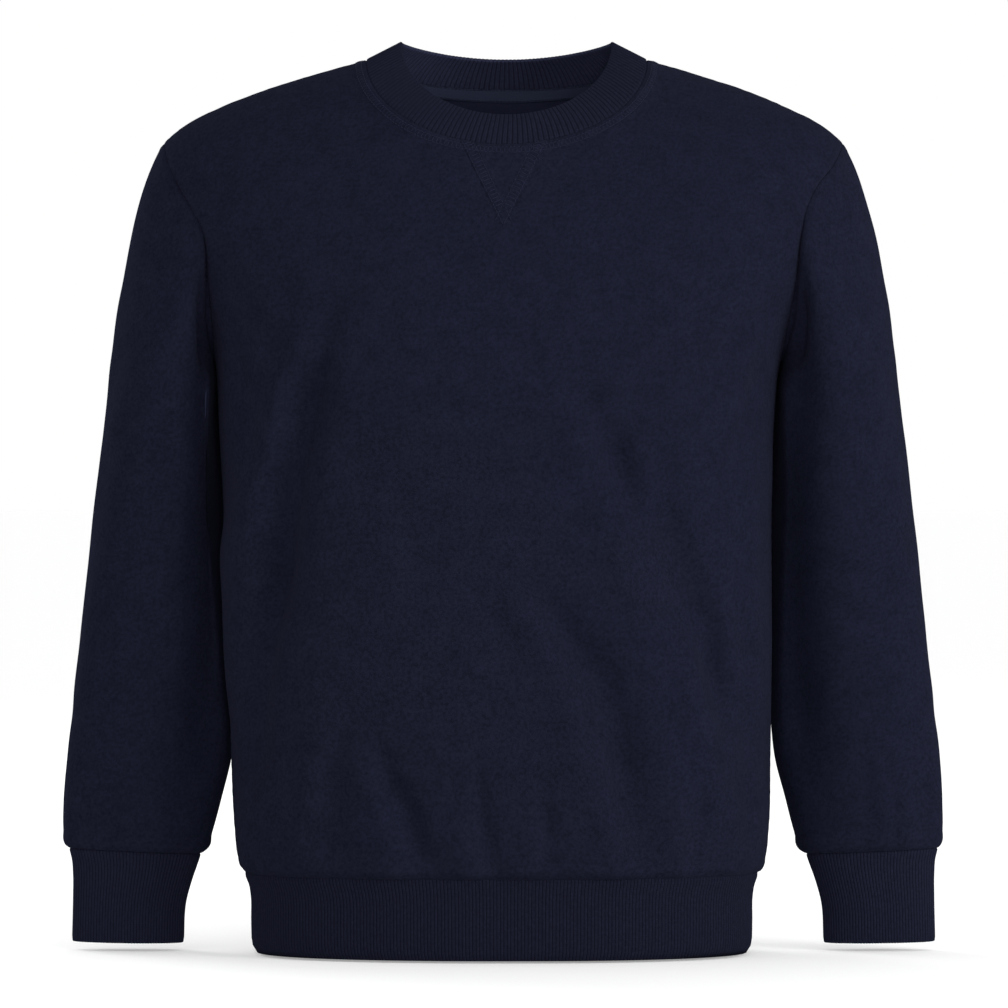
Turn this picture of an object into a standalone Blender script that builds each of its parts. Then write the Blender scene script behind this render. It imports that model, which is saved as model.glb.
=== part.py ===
"""Crewneck sweatshirt, filled out as if worn, with nobody in it.

Metres, +Z up. The garment faces -Y and hangs from its shoulders. The origin is in the middle of
the neck, level with the place where the shoulder seams meet the neck rib. Left and right are as
someone facing the garment sees them, so left is -X.

The garment is first worked out as one outer skin. Each cut piece is then a wall of its own cloth
on its part of that skin, and two pieces that are sewn together share the points of their seam.
"""

import math

import bmesh
import bpy
import numpy as np

# Cloth
fleece_thickness = 0.0020
rib_thickness = 0.0028
insert_thickness = 0.0010
tape_thickness = 0.0010
seam_gap = 0.0003

# Main heights and widths
hem_seam_height = -0.6335
hem_bottom_height = -0.6947
armpit_height = -0.235
shoulder_tip = 0.2656
shoulder_tip_height = -0.0645
section_corner = 2.4
roll_front = 0.100
roll_back = 0.092

# Neck: the seam of the rib, and the rib's free edge
neck_half_width = 0.1095
neck_side_height = 0.0005
neck_side_place = 0.0030
neck_drop_front = 0.0711
neck_drop_back = 0.0165
neck_edge_half_width = 0.0835
neck_edge_height = 0.0128
neck_edge_front = (-0.0660, -0.0463)
neck_edge_back = (0.0620, 0.0050)
insert_half_width = 0.0335
insert_height = 0.0650
tape_height = 0.0110

# Sleeves
sleeve_top_height = -0.275
cuff_seam_height = -0.6188
sleeve_clearance = 0.0025
cleared_from_height = -0.150

# The directions in which a sleeve leaves the armhole at the armpit and at the shoulder, and in
# which it then hangs
armpit_direction = (1.30, 0.0, 0.05)
shoulder_direction = (0.35, 0.0, -0.60)
hanging_direction = (0.12, 0.05, -1.0)

# How many cells the pieces are divided into
shoulder_cells = 5
neck_cells = 16
armhole_cells = 10
armhole_crowding = 1.3
cap_cells = 6
band_cells = 3
rib_cells = 3


def table(columns, *rows):
    """A table as one array for each named column."""
    return {name: np.array(values, float) for name, values in zip(columns.split(), zip(*rows))}


# The trunk by height: its reach to each side, and its depth in front and behind
trunk = table(
    "height left right front back",
    (-0.6335, 0.1965, 0.1935, 0.1075, 0.0965),
    (-0.6300, 0.2030, 0.2000, 0.1145, 0.1035),
    (-0.6200, 0.2072, 0.2042, 0.1185, 0.1078),
    (-0.6000, 0.2095, 0.2065, 0.1205, 0.1098),
    (-0.5400, 0.2118, 0.2083, 0.1225, 0.1110),
    (-0.4600, 0.2135, 0.2087, 0.1240, 0.1112),
    (-0.3430, 0.2186, 0.2091, 0.1280, 0.1135),
    (-0.2800, 0.2216, 0.2108, 0.1310, 0.1170),
    (-0.2350, 0.2245, 0.2160, 0.1320, 0.1210),
    (-0.2050, 0.2308, 0.2255, 0.1300, 0.1230),
    (-0.1700, 0.2431, 0.2400, 0.1245, 0.1235),
    (-0.1350, 0.2551, 0.2541, 0.1150, 0.1220),
    (-0.1000, 0.2680, 0.2680, 0.1010, 0.1170),
    (-0.0680, 0.2840, 0.2840, 0.0850, 0.1080),
    (-0.0300, 0.3000, 0.3000, 0.0660, 0.0890),
    (0.0100, 0.3120, 0.3120, 0.0480, 0.0630),
)

# The side edge of the panels, from the hem seam to the armpit
side_heights = (-0.6335, -0.6300, -0.6200, -0.6000, -0.5450, -0.4800, -0.4150, -0.3500, -0.2900, -0.2350)

# The armhole by height: how far out its seam lies on each side
armhole = table(
    "height left right",
    (-0.2350, 0.2245, 0.2160),
    (-0.2050, 0.2262, 0.2210),
    (-0.1700, 0.2285, 0.2262),
    (-0.1350, 0.2322, 0.2298),
    (-0.1180, 0.2414, 0.2340),
    (-0.1000, 0.2520, 0.2430),
    (-0.0830, 0.2600, 0.2565),
    (shoulder_tip_height, shoulder_tip, shoulder_tip),
)

# The shoulder seam: its height and its place front to back, by the distance from the middle.
# Inside the neck it only shapes the cloth below, which climbs towards the neck.
shoulder = table(
    "out height place",
    (0.0000, 0.0850, 0.0020),
    (0.0500, 0.0400, 0.0020),
    (0.0800, 0.0168, 0.0025),
    (neck_half_width, neck_side_height, neck_side_place),
    (0.1370, -0.0082, 0.0045),
    (0.1580, -0.0145, 0.0058),
    (0.1770, -0.0205, 0.0070),
    (0.1950, -0.0270, 0.0080),
    (0.2110, -0.0330, 0.0090),
    (0.2250, -0.0392, 0.0100),
    (0.2380, -0.0455, 0.0108),
    (shoulder_tip, shoulder_tip_height, 0.0120),
    (0.2900, -0.0870, 0.0120),
)

# A sleeve by height: its reach out and in from the middle, and front to back
sleeve = table(
    "height outer inner front back",
    (-0.6188, 0.3385, 0.2400, 0.0120, 0.0540),
    (-0.6150, 0.3425, 0.2335, 0.0085, 0.0575),
    (-0.6030, 0.3443, 0.2298, 0.0060, 0.0600),
    (-0.5800, 0.3440, 0.2232, 0.0030, 0.0640),
    (-0.5460, 0.3415, 0.2140, -0.0015, 0.0700),
    (-0.5000, 0.3374, 0.2072, -0.0080, 0.0775),
    (-0.4200, 0.3290, 0.2010, -0.0210, 0.0880),
    (-0.3430, 0.3203, 0.1985, -0.0370, 0.0930),
    (-0.2750, 0.3115, 0.1970, -0.0550, 0.0945),
)
sleeve_heights = (-0.3200, -0.3700, -0.4250, -0.4800, -0.5300, -0.5750, -0.6030, -0.6150, -0.6188)

cuff = table(
    "height outer inner front back",
    (-0.6907, 0.3382, 0.2514, 0.0130, 0.0480),
    (-0.6540, 0.3374, 0.2490, 0.0125, 0.0490),
    (-0.6330, 0.3374, 0.2452, 0.0120, 0.0510),
    (-0.6188, 0.3385, 0.2400, 0.0120, 0.0540),
)
cuff_heights = (-0.6188, -0.6330, -0.6600, -0.6907)

band = table(
    "height left right front back",
    (-0.6947, 0.1940, 0.1915, 0.1045, 0.0940),
    (-0.6700, 0.1958, 0.1933, 0.1065, 0.0960),
    (-0.6335, 0.1965, 0.1935, 0.1075, 0.0965),
)

# The largest soft folds of the trunk, each a straight run from one place to another:
# face -1 is the front and 1 the back, depth is below the skin, or a ridge above it where negative
folds = table(
    "face start_out start_height end_out end_height half_width depth",
    (-1, 0.190, -0.205, 0.050, -0.360, 0.020, 0.0035),
    (-1, -0.185, -0.215, -0.090, -0.350, 0.018, 0.0025),
    (-1, 0.150, -0.300, 0.160, -0.520, 0.018, 0.0030),
    (-1, -0.165, -0.300, -0.170, -0.560, 0.016, 0.0030),
    (-1, 0.070, -0.440, 0.120, -0.620, 0.018, 0.0030),
    (-1, -0.120, -0.490, -0.060, -0.625, 0.016, 0.0025),
    (1, 0.175, -0.190, 0.080, -0.400, 0.020, 0.0040),
    (1, -0.180, -0.200, -0.060, -0.380, 0.020, 0.0035),
    (1, 0.120, -0.430, 0.150, -0.620, 0.018, 0.0035),
    (1, -0.030, -0.460, -0.110, -0.625, 0.018, 0.0035),
    (1, -0.150, -0.330, -0.165, -0.560, 0.016, 0.0030),
)

navy_cloth = (0.0115, 0.0130, 0.0270, 1.0)
navy_rib = (0.0095, 0.0105, 0.0190, 1.0)
navy_tape = (0.0110, 0.0135, 0.0260, 1.0)


def clear_scene():
    for item in list(bpy.data.objects):
        bpy.data.objects.remove(item, do_unlink=True)


def read(columns, name, at, along="height"):
    """Smooth curve through one column of a table, by the column named in along."""
    order = np.argsort(columns[along])
    places = columns[along][order]
    values = columns[name][order]
    slopes = np.gradient(values, places)
    at = np.clip(at, places[0], places[-1])
    cell = np.clip(np.searchsorted(places, at, side="right") - 1, 0, len(places) - 2)
    length = places[cell + 1] - places[cell]
    t = (at - places[cell]) / length
    start = values[cell] * (1 + 2 * t) * (1 - t) ** 2 + slopes[cell] * length * t * (1 - t) ** 2
    end = values[cell + 1] * t * t * (3 - 2 * t) + slopes[cell + 1] * length * t * t * (t - 1)
    return start + end


def ease(value):
    """Smooth step from 0 to 1."""
    value = np.clip(value, 0, 1)
    return value * value * (3 - 2 * value)


def side_reach(columns, across, height):
    """Reach of a section on the side that the sign of across picks."""
    return np.where(across < 0, read(columns, "left", height), read(columns, "right", height))


def fold_depth(across, height, face):
    """How far the folds take the cloth below its smooth skin."""
    total = 0
    for row in zip(*folds.values()):
        side, x0, z0, x1, z1, half_width, depth = row
        if side != face:
            continue
        run = np.array((x1 - x0, z1 - z0))
        place = ((across - x0) * run[0] + (height - z0) * run[1]) / (run @ run)
        away = ((across - x0) * run[1] - (height - z0) * run[0]) / math.sqrt(run @ run)
        past = np.clip(np.abs(place - 0.5) - 0.35, 0, None)
        total = total + depth * np.exp(-((away / half_width) ** 2) - (past / 0.15) ** 2)
    return total


def trunk_point(angle, height, face):
    """Point of the trunk's skin. The angle runs from -90 degrees at the left side to 90 at the right."""
    share = np.sin(angle)
    across = side_reach(trunk, share, height) * share
    depth = read(trunk, "front" if face < 0 else "back", height)
    roundness = np.clip(1 - np.abs(share) ** section_corner, 0, 1) ** (1 / section_corner)
    drop = read(shoulder, "height", np.abs(across), "out") - height
    roll_height = roll_front if face < 0 else roll_back
    roll = np.sqrt(np.clip(1 - np.clip(1 - drop / roll_height, 0, 1) ** 2, 0, 1))
    seam_place = read(shoulder, "place", np.abs(across), "out")
    depth = depth - fold_depth(across, height, face)
    place = seam_place + (face * depth * roundness - seam_place) * roll
    return np.stack(np.broadcast_arrays(across, place, height), axis=-1)


def angle_of(across, height):
    """The angle at which the trunk's skin lies that far across."""
    return np.arcsin(np.clip(across / side_reach(trunk, across, height), -1, 1))


def armhole_heights():
    """Heights that divide the front of the armhole into cells, from the armpit up, shorter near it."""
    fine = armpit_height + (shoulder_tip_height - armpit_height) * np.linspace(0, 1, 400)
    points = trunk_point(angle_of(-read(armhole, "left", fine), fine), fine, -1)
    length = np.concatenate(([0], np.cumsum(np.linalg.norm(np.diff(points, axis=0), axis=1))))
    shares = np.linspace(0, 1, armhole_cells + 1) ** armhole_crowding
    return np.interp(shares * length[-1], length, fine)


def neck_outline(drop):
    """Across and height of the neck seam, from the left shoulder to the right."""
    turn = np.linspace(math.pi, 0, neck_cells + 1)
    return neck_half_width * np.cos(turn), neck_side_height - drop * np.sin(turn)


def panel_top(drop):
    """Across and height along the top of a panel: shoulder, neck and shoulder."""
    out = np.linspace(shoulder_tip, neck_half_width, shoulder_cells + 1)
    height = read(shoulder, "height", out, "out")
    neck_across, neck_height = neck_outline(drop)
    across = np.concatenate((-out[:-1], neck_across, out[::-1][1:]))
    return across, np.concatenate((height[:-1], neck_height, height[::-1][1:]))


def panel_grid(face):
    """Points of the front or the back, in rows from the hem up and from left to right."""
    top_across, top_height = panel_top(neck_drop_front if face < 0 else neck_drop_back)
    top_angle = angle_of(top_across, top_height)
    spread = math.radians(26)
    hem_angle = np.concatenate(
        (
            np.linspace(-math.pi / 2, -spread, shoulder_cells + 1)[:-1],
            np.linspace(-spread, spread, neck_cells + 1),
            np.linspace(spread, math.pi / 2, shoulder_cells + 1)[1:],
        )
    )
    heights = np.concatenate((side_heights, armhole_heights()[1:]))
    rise = ((heights - heights[0]) / (heights[-1] - heights[0]))[:, None]
    column = ((hem_angle + math.pi / 2) / math.pi)[None, :]
    edges = []
    for side, name in ((-1, "left"), (1, "right")):
        above = heights > armpit_height
        angle = np.where(above, angle_of(side * read(armhole, name, heights), heights), side * math.pi / 2)
        plain = side * math.pi / 2 * (1 - rise[:, 0]) + top_angle[-1 if side > 0 else 0] * rise[:, 0]
        edges.append((angle - plain)[:, None])
    angle = hem_angle * (1 - rise) + top_angle * rise
    angle = angle + edges[0] * (1 - column) ** 2 + edges[1] * column**2
    height = heights[:, None] + rise**3 * (top_height - top_height[0])
    points = trunk_point(angle, height, face)
    points[-1, :, 2] = top_height
    return points


def ring_section(columns, height, count):
    """Oval ring of a sleeve or cuff at one height, from its inner side round by the front."""
    outer, inner, front, back = (read(columns, name, height) for name in ("outer", "inner", "front", "back"))
    turn = math.pi * (1 - 2 * np.arange(count) / count)
    across = (outer + inner) / 2 + (outer - inner) / 2 * np.cos(turn)
    place = (front + back) / 2 - (back - front) / 2 * np.sin(turn)
    return np.stack((across, place, np.full(count, height)), axis=-1)


def clear_of_trunk(points, name, clearance):
    """Moves points straight out from the trunk's middle until they clear its skin."""
    reach = read(trunk, name, points[..., 2])
    in_front = points[..., 1] < 0
    face = np.where(in_front, read(trunk, "front", points[..., 2]), read(trunk, "back", points[..., 2]))
    across = np.abs(points[..., 0]) / (reach + clearance)
    depth = np.abs(points[..., 1]) / (face + clearance)
    share = (across**section_corner + depth**section_corner) ** (1 / section_corner)
    wanted = 0.5 * (share + 1 + np.sqrt((share - 1) ** 2 + 0.02**2))
    factor = np.stack((wanted / share, wanted / share, np.ones_like(share)), axis=-1)
    return points * factor


def sleeve_grid(seam, name):
    """Rings of the right sleeve from the armhole seam down, for a seam that starts at the armpit."""
    count = len(seam)
    top = ring_section(sleeve, sleeve_top_height, count)
    turn = math.pi * (1 - 2 * np.arange(count) / count)
    outerness = (0.5 + 0.5 * np.cos(turn))[:, None]
    start = np.array(armpit_direction) * (1 - outerness) + np.array(shoulder_direction) * outerness
    start = start + np.array((0.0, 0.25, 0.0)) * (-np.sin(turn))[:, None]
    down = np.array(hanging_direction)
    reach = np.linalg.norm(top - seam, axis=1)[:, None]
    rings = []
    for step in range(cap_cells + 1):
        t = step / cap_cells
        ring = seam * (1 + 2 * t) * (1 - t) ** 2 + top * t * t * (3 - 2 * t)
        ring = ring + start * reach * t * (1 - t) ** 2 * (0.9 + 0.3 * outerness)
        ring = ring + down * reach * t * t * (t - 1)
        settled = clear_of_trunk(ring, name, sleeve_clearance * min(1, 2 * t))
        share = ease((cleared_from_height - ring[:, 2]) / 0.05)[:, None] * (step > 0)
        rings.append(ring + (settled - ring) * share)
    for height in sleeve_heights:
        rings.append(clear_of_trunk(ring_section(sleeve, height, count), name, sleeve_clearance))
    rings[-1] = ring_section(sleeve, cuff_seam_height, count)
    return np.array(rings)


def cuff_grid(count):
    return np.array([ring_section(cuff, height, count) for height in cuff_heights])


def band_grid(seam):
    """Rings of the hem band, from its bottom up to the hem seam."""
    rings = []
    for step in range(band_cells + 1):
        height = hem_bottom_height + (hem_seam_height - hem_bottom_height) * step / band_cells
        front = np.where(seam[:, 1] > 0, read(band, "back", height), read(band, "front", height))
        seam_front = np.where(
            seam[:, 1] > 0, read(band, "back", hem_seam_height), read(band, "front", hem_seam_height)
        )
        seam_side = side_reach(band, seam[:, 0], hem_seam_height)
        across = seam[:, 0] * side_reach(band, seam[:, 0], height) / seam_side
        place = seam[:, 1] * front / seam_front
        rings.append(np.stack((across, place, np.full(len(seam), height)), axis=-1))
    rings[-1] = seam
    return np.array(rings)


def neck_edge(count):
    """The free edge of the neck rib: from the left shoulder round the front, then round the back."""
    turn = math.pi * (1 + 2 * np.arange(count) / count)
    front = np.sin(turn) < 0
    place = np.where(front, neck_edge_front[0], neck_edge_back[0])
    height = np.where(front, neck_edge_front[1], neck_edge_back[1])
    around = np.abs(np.sin(turn))
    return np.stack(
        (
            neck_edge_half_width * np.cos(turn),
            neck_side_place + (place - neck_side_place) * around,
            neck_edge_height + (height - neck_edge_height) * around,
        ),
        axis=-1,
    )


def collar_grid(seam):
    """Rings of the neck rib, from its seam to its free edge, a little rounded outwards."""
    edge = neck_edge(len(seam))
    rings = []
    for step in range(rib_cells + 1):
        t = step / rib_cells
        ring = seam + (edge - seam) * t
        ring[:, 2] += 0.0016 * math.sin(math.pi * t)
        rings.append(ring)
    return np.array(rings)


def mirrored(grid):
    return grid * np.array((-1.0, 1.0, 1.0))


def skin_normals(grids):
    """Outward directions at the points of all grids, shared where two of them meet at a seam."""
    total = {}
    keys = {}
    for name, (points, round_shape, outward) in grids.items():
        keys[name] = [[tuple(np.round(point * 1e6).astype(int)) for point in row] for row in points]
        rows, columns = points.shape[:2]
        for i in range(rows - 1):
            for j in range(columns if round_shape else columns - 1):
                k = (j + 1) % columns
                across = points[i + 1, k] - points[i, j]
                back = points[i + 1, j] - points[i, k]
                facing = outward * np.cross(across, back)
                for key in (keys[name][i][j], keys[name][i][k], keys[name][i + 1][j], keys[name][i + 1][k]):
                    total[key] = total.get(key, 0) + facing
    normals = {}
    for name in grids:
        rows = np.array([[total[key] for key in row] for row in keys[name]])
        normals[name] = rows / np.linalg.norm(rows, axis=-1, keepdims=True)
    return normals


def opened(points, normals, round_shape):
    """Draws the edges of a grid back by half the seam gap, so that sewn pieces don't touch."""
    rows, columns = points.shape[:2]
    if round_shape:
        loops = [[(i, j) for j in range(columns)] for i in (0, rows - 1)]
    else:
        bottom_right = [(0, j) for j in range(columns)] + [(i, columns - 1) for i in range(1, rows)]
        top_left = [(rows - 1, j) for j in range(columns - 2, -1, -1)]
        top_left += [(i, 0) for i in range(rows - 2, 0, -1)]
        loops = [bottom_right + top_left]
    drawn = points.copy()
    for loop in loops:
        i, j = np.array(loop).T
        edge = points[i, j]
        tangent = np.roll(edge, -1, axis=0) - np.roll(edge, 1, axis=0)
        inward = np.cross(normals[i, j], tangent)
        inward = inward / np.linalg.norm(inward, axis=-1, keepdims=True)
        within = j if round_shape else np.clip(j, 1, columns - 2)
        inner = points[np.clip(i, 1, rows - 2), within]
        side = np.sign(np.sum(inward * (inner - edge)))
        drawn[i, j] = edge + side * inward * seam_gap / 2
    return drawn


def make_material(name, colour, roughness):
    material = bpy.data.materials.new(name)
    material.use_nodes = True
    shader = material.node_tree.nodes["Principled BSDF"]
    shader.inputs["Base Color"].default_value = colour
    shader.inputs["Roughness"].default_value = roughness
    shader.inputs["Metallic"].default_value = 0.0
    return material


def add_object(name, shape, material):
    mesh = bpy.data.meshes.new(name)
    bmesh.ops.recalc_face_normals(shape, faces=shape.faces)
    shape.to_mesh(mesh)
    shape.free()
    mesh.shade_smooth()
    mesh.set_sharp_from_angle(angle=math.radians(50))
    if material is not None:
        mesh.materials.append(material)
    made = bpy.data.objects.new(name, mesh)
    bpy.context.scene.collection.objects.link(made)
    return made


def add_rim_cell(shape, start, end):
    """Two triangles across the wall's edge. The split starts at the lower end, on both sides of a seam."""
    lower, upper = sorted((start, end), key=lambda pair: pair[0].co.dot((0.37, 0.11, 1.0)))
    shape.faces.new((lower[0], upper[0], upper[1]))
    shape.faces.new((lower[0], upper[1], lower[1]))


def add_wall(name, outer, inner, round_shape, material):
    """One closed body between an outer and an inner grid of points, with a rim along each free edge.

    Its cells are split along the same diagonals everywhere, so layers of one cloth lie true.
    """
    shape = bmesh.new()
    rows, columns = outer.shape[:2]
    skins = [[[shape.verts.new(point) for point in row] for row in grid] for grid in (outer, inner)]
    last = columns if round_shape else columns - 1
    for skin in skins:
        for i in range(rows - 1):
            for j in range(last):
                k = (j + 1) % columns
                shape.faces.new((skin[i][j], skin[i][k], skin[i + 1][k]))
                shape.faces.new((skin[i][j], skin[i + 1][k], skin[i + 1][j]))
    edges = [((i, j), (i, (j + 1) % columns)) for i in (0, rows - 1) for j in range(last)]
    if not round_shape:
        edges += [((i, j), (i + 1, j)) for i in range(rows - 1) for j in (0, columns - 1)]
    for (i, j), (m, n) in edges:
        add_rim_cell(shape, (skins[0][i][j], skins[1][i][j]), (skins[0][m][n], skins[1][m][n]))
    return add_object(name, shape, material)


def add_prism(name, outline, near, far):
    """Upright outline of (across, height) points, carried from near to far along Y: a cutter."""
    shape = bmesh.new()
    ends = [[shape.verts.new((x, place, z)) for x, z in outline] for place in (near, far)]
    for end in ends:
        shape.faces.new(end)
    for j in range(len(outline)):
        k = (j + 1) % len(outline)
        shape.faces.new((ends[0][j], ends[0][k], ends[1][k], ends[1][j]))
    cutter = add_object(name, shape, None)
    cutter.hide_render = True
    cutter.display_type = "WIRE"
    return cutter


def keep_inside(made, cutter):
    modifier = made.modifiers.new("trim", "BOOLEAN")
    modifier.operation = "INTERSECT"
    modifier.solver = "EXACT"
    modifier.object = cutter


def build_skin():
    """The whole outer skin, cut at its seams: name to (points, closed round, side that faces out)."""
    front = panel_grid(-1)
    back = panel_grid(1)[:, ::-1]
    armpit_row = len(side_heights) - 1
    right_seam = np.concatenate((front[armpit_row:, -1], back[armpit_row + 1 : -1, 0][::-1]))
    left_seam = mirrored(np.concatenate((front[armpit_row:, 0], back[armpit_row + 1 : -1, -1][::-1])))
    hem_seam = np.concatenate((front[0], back[0, 1:-1]))
    neck = slice(shoulder_cells, shoulder_cells + neck_cells + 1)
    neck_seam = np.concatenate((front[-1, neck], back[-1, neck][1:-1]))
    count = len(right_seam)
    return {
        "front_panel": (front, False, 1),
        "back_panel": (back, False, 1),
        "sleeve_right": (sleeve_grid(right_seam, "right"), True, -1),
        "sleeve_left": (mirrored(sleeve_grid(left_seam, "left")), True, 1),
        "cuff_right": (cuff_grid(count), True, -1),
        "cuff_left": (mirrored(cuff_grid(count)), True, 1),
        "hem_band": (band_grid(hem_seam), True, 1),
        "neck_rib": (collar_grid(neck_seam), True, 1),
    }


def add_insert(front, normals, material):
    """The V insert: a patch laid on the front below the neck rib, cut to a point."""
    lowest = len(side_heights) + 1
    patch = slice(lowest, None), slice(shoulder_cells + 1, shoulder_cells + neck_cells)
    base = front[patch] + normals[patch] * seam_gap
    made = add_wall("neck_insert", base + normals[patch] * insert_thickness, base, False, material)
    top = neck_side_height - neck_drop_front
    beyond = top + 0.012
    outline = ((-insert_half_width, beyond), (insert_half_width, beyond), (0.0, top - insert_height))
    keep_inside(made, add_prism("insert_outline", outline, -0.2, 0.0))


def add_tape(back, normals, material):
    """The neck tape: a strip inside the back, along the seam of the neck rib."""
    patch = slice(-4, None), slice(shoulder_cells - 2, shoulder_cells + neck_cells + 3)
    outer = back[patch] - normals[patch] * (fleece_thickness + seam_gap)
    made = add_wall("neck_tape", outer, outer - normals[patch] * tape_thickness, False, material)
    turn = np.linspace(0, 2 * math.pi, 48, endpoint=False)
    half_width = neck_half_width + tape_height
    drop = neck_drop_back + tape_height
    outline = [(half_width * math.cos(t), neck_side_height + drop * math.sin(t)) for t in turn]
    keep_inside(made, add_prism("tape_outline", outline, -0.01, 0.15))


def main():
    clear_scene()
    cloth = make_material("fleece", navy_cloth, 0.95)
    rib = make_material("rib", navy_rib, 0.9)
    tape = make_material("tape", navy_tape, 0.85)
    skin = build_skin()
    normals = skin_normals(skin)
    thicker = ("cuff_right", "cuff_left", "hem_band", "neck_rib")
    for name, (points, round_shape, _) in skin.items():
        thickness = rib_thickness if name in thicker else fleece_thickness
        outer = opened(points, normals[name], round_shape)
        inner = outer - normals[name] * thickness
        add_wall(name, outer, inner, round_shape, rib if name in thicker else cloth)
    for name, add, material in (("front_panel", add_insert, cloth), ("back_panel", add_tape, tape)):
        add(opened(skin[name][0], normals[name], False), normals[name], material)


main()
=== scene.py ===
import math

import bpy
import numpy as np
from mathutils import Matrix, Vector
from mathutils.bvhtree import BVHTree
from mathutils.kdtree import KDTree


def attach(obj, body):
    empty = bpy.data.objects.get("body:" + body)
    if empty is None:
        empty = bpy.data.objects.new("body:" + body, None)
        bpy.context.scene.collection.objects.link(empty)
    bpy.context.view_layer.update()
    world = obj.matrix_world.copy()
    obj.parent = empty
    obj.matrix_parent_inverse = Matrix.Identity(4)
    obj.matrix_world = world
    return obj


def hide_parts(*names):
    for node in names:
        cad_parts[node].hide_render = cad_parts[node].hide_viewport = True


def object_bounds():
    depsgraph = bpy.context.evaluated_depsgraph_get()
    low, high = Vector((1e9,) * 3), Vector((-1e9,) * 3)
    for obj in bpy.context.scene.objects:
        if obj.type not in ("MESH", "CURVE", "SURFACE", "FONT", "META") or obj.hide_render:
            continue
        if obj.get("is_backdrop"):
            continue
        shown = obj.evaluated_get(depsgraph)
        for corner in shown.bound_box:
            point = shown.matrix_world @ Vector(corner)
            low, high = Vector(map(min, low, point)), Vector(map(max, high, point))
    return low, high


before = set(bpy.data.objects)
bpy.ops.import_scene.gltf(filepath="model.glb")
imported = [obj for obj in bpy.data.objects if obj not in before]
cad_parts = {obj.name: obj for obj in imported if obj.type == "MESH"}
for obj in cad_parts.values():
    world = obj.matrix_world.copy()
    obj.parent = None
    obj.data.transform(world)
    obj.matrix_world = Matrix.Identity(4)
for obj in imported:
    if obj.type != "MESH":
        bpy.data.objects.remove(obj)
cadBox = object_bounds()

# The sweatshirt is worked out as one outer skin, facing -Y with its left sleeve at -X. Each piece is
# a thin wall of its own cloth on its part of that skin, and sewn pieces share the points of a seam.


def table(columns, *rows):
    return {name: np.array(values, float) for name, values in zip(columns.split(), zip(*rows))}


def readCurve(columns, name, at, along="height"):
    order = np.argsort(columns[along])
    places = columns[along][order]
    values = columns[name][order]
    slopes = np.gradient(values, places)
    at = np.clip(at, places[0], places[-1])
    cell = np.clip(np.searchsorted(places, at, side="right") - 1, 0, len(places) - 2)
    length = places[cell + 1] - places[cell]
    t = (at - places[cell]) / length
    start = values[cell] * (1 + 2 * t) * (1 - t) ** 2 + slopes[cell] * length * t * (1 - t) ** 2
    end = values[cell + 1] * t * t * (3 - 2 * t) + slopes[cell + 1] * length * t * t * (t - 1)
    return start + end


def ease(value):
    value = np.clip(value, 0, 1)
    return value * value * (3 - 2 * value)


def bell(value):
    return np.exp(-(value**2))


def spaced(length, cell, fine, ramp, ends):  # shares of a length, in finer steps near the named ends
    places = [0.0]
    while places[-1] < length:
        fromStart = places[-1] if "start" in ends else length
        near = min(fromStart, length - places[-1] if "end" in ends else length)
        places.append(places[-1] + fine + (cell - fine) * min(1, near / ramp))
    return np.array(places) / places[-1]


def unit(vectors):
    return vectors / np.maximum(np.linalg.norm(vectors, axis=-1, keepdims=True), 1e-12)


# The cut: where the seams run, in metres

seam = {
    "hem": -0.6335,
    "armpit": -0.235,
    "tipOut": 0.2656,
    "tipHeight": -0.0645,
    "cuff": -0.6188,
    "groove": 0.0010,  # how deep the cloth turns in at a seam
    "turn": 0.0022,  # over this distance
    "swell": 0.00035,  # the ridge that the seam allowance makes beside it
    "pucker": 0.00009,
}
neckCut = {"halfWidth": 0.1095, "height": 0.0005, "place": 0.0030, "dropFront": 0.0711, "dropBack": 0.0165}

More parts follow.
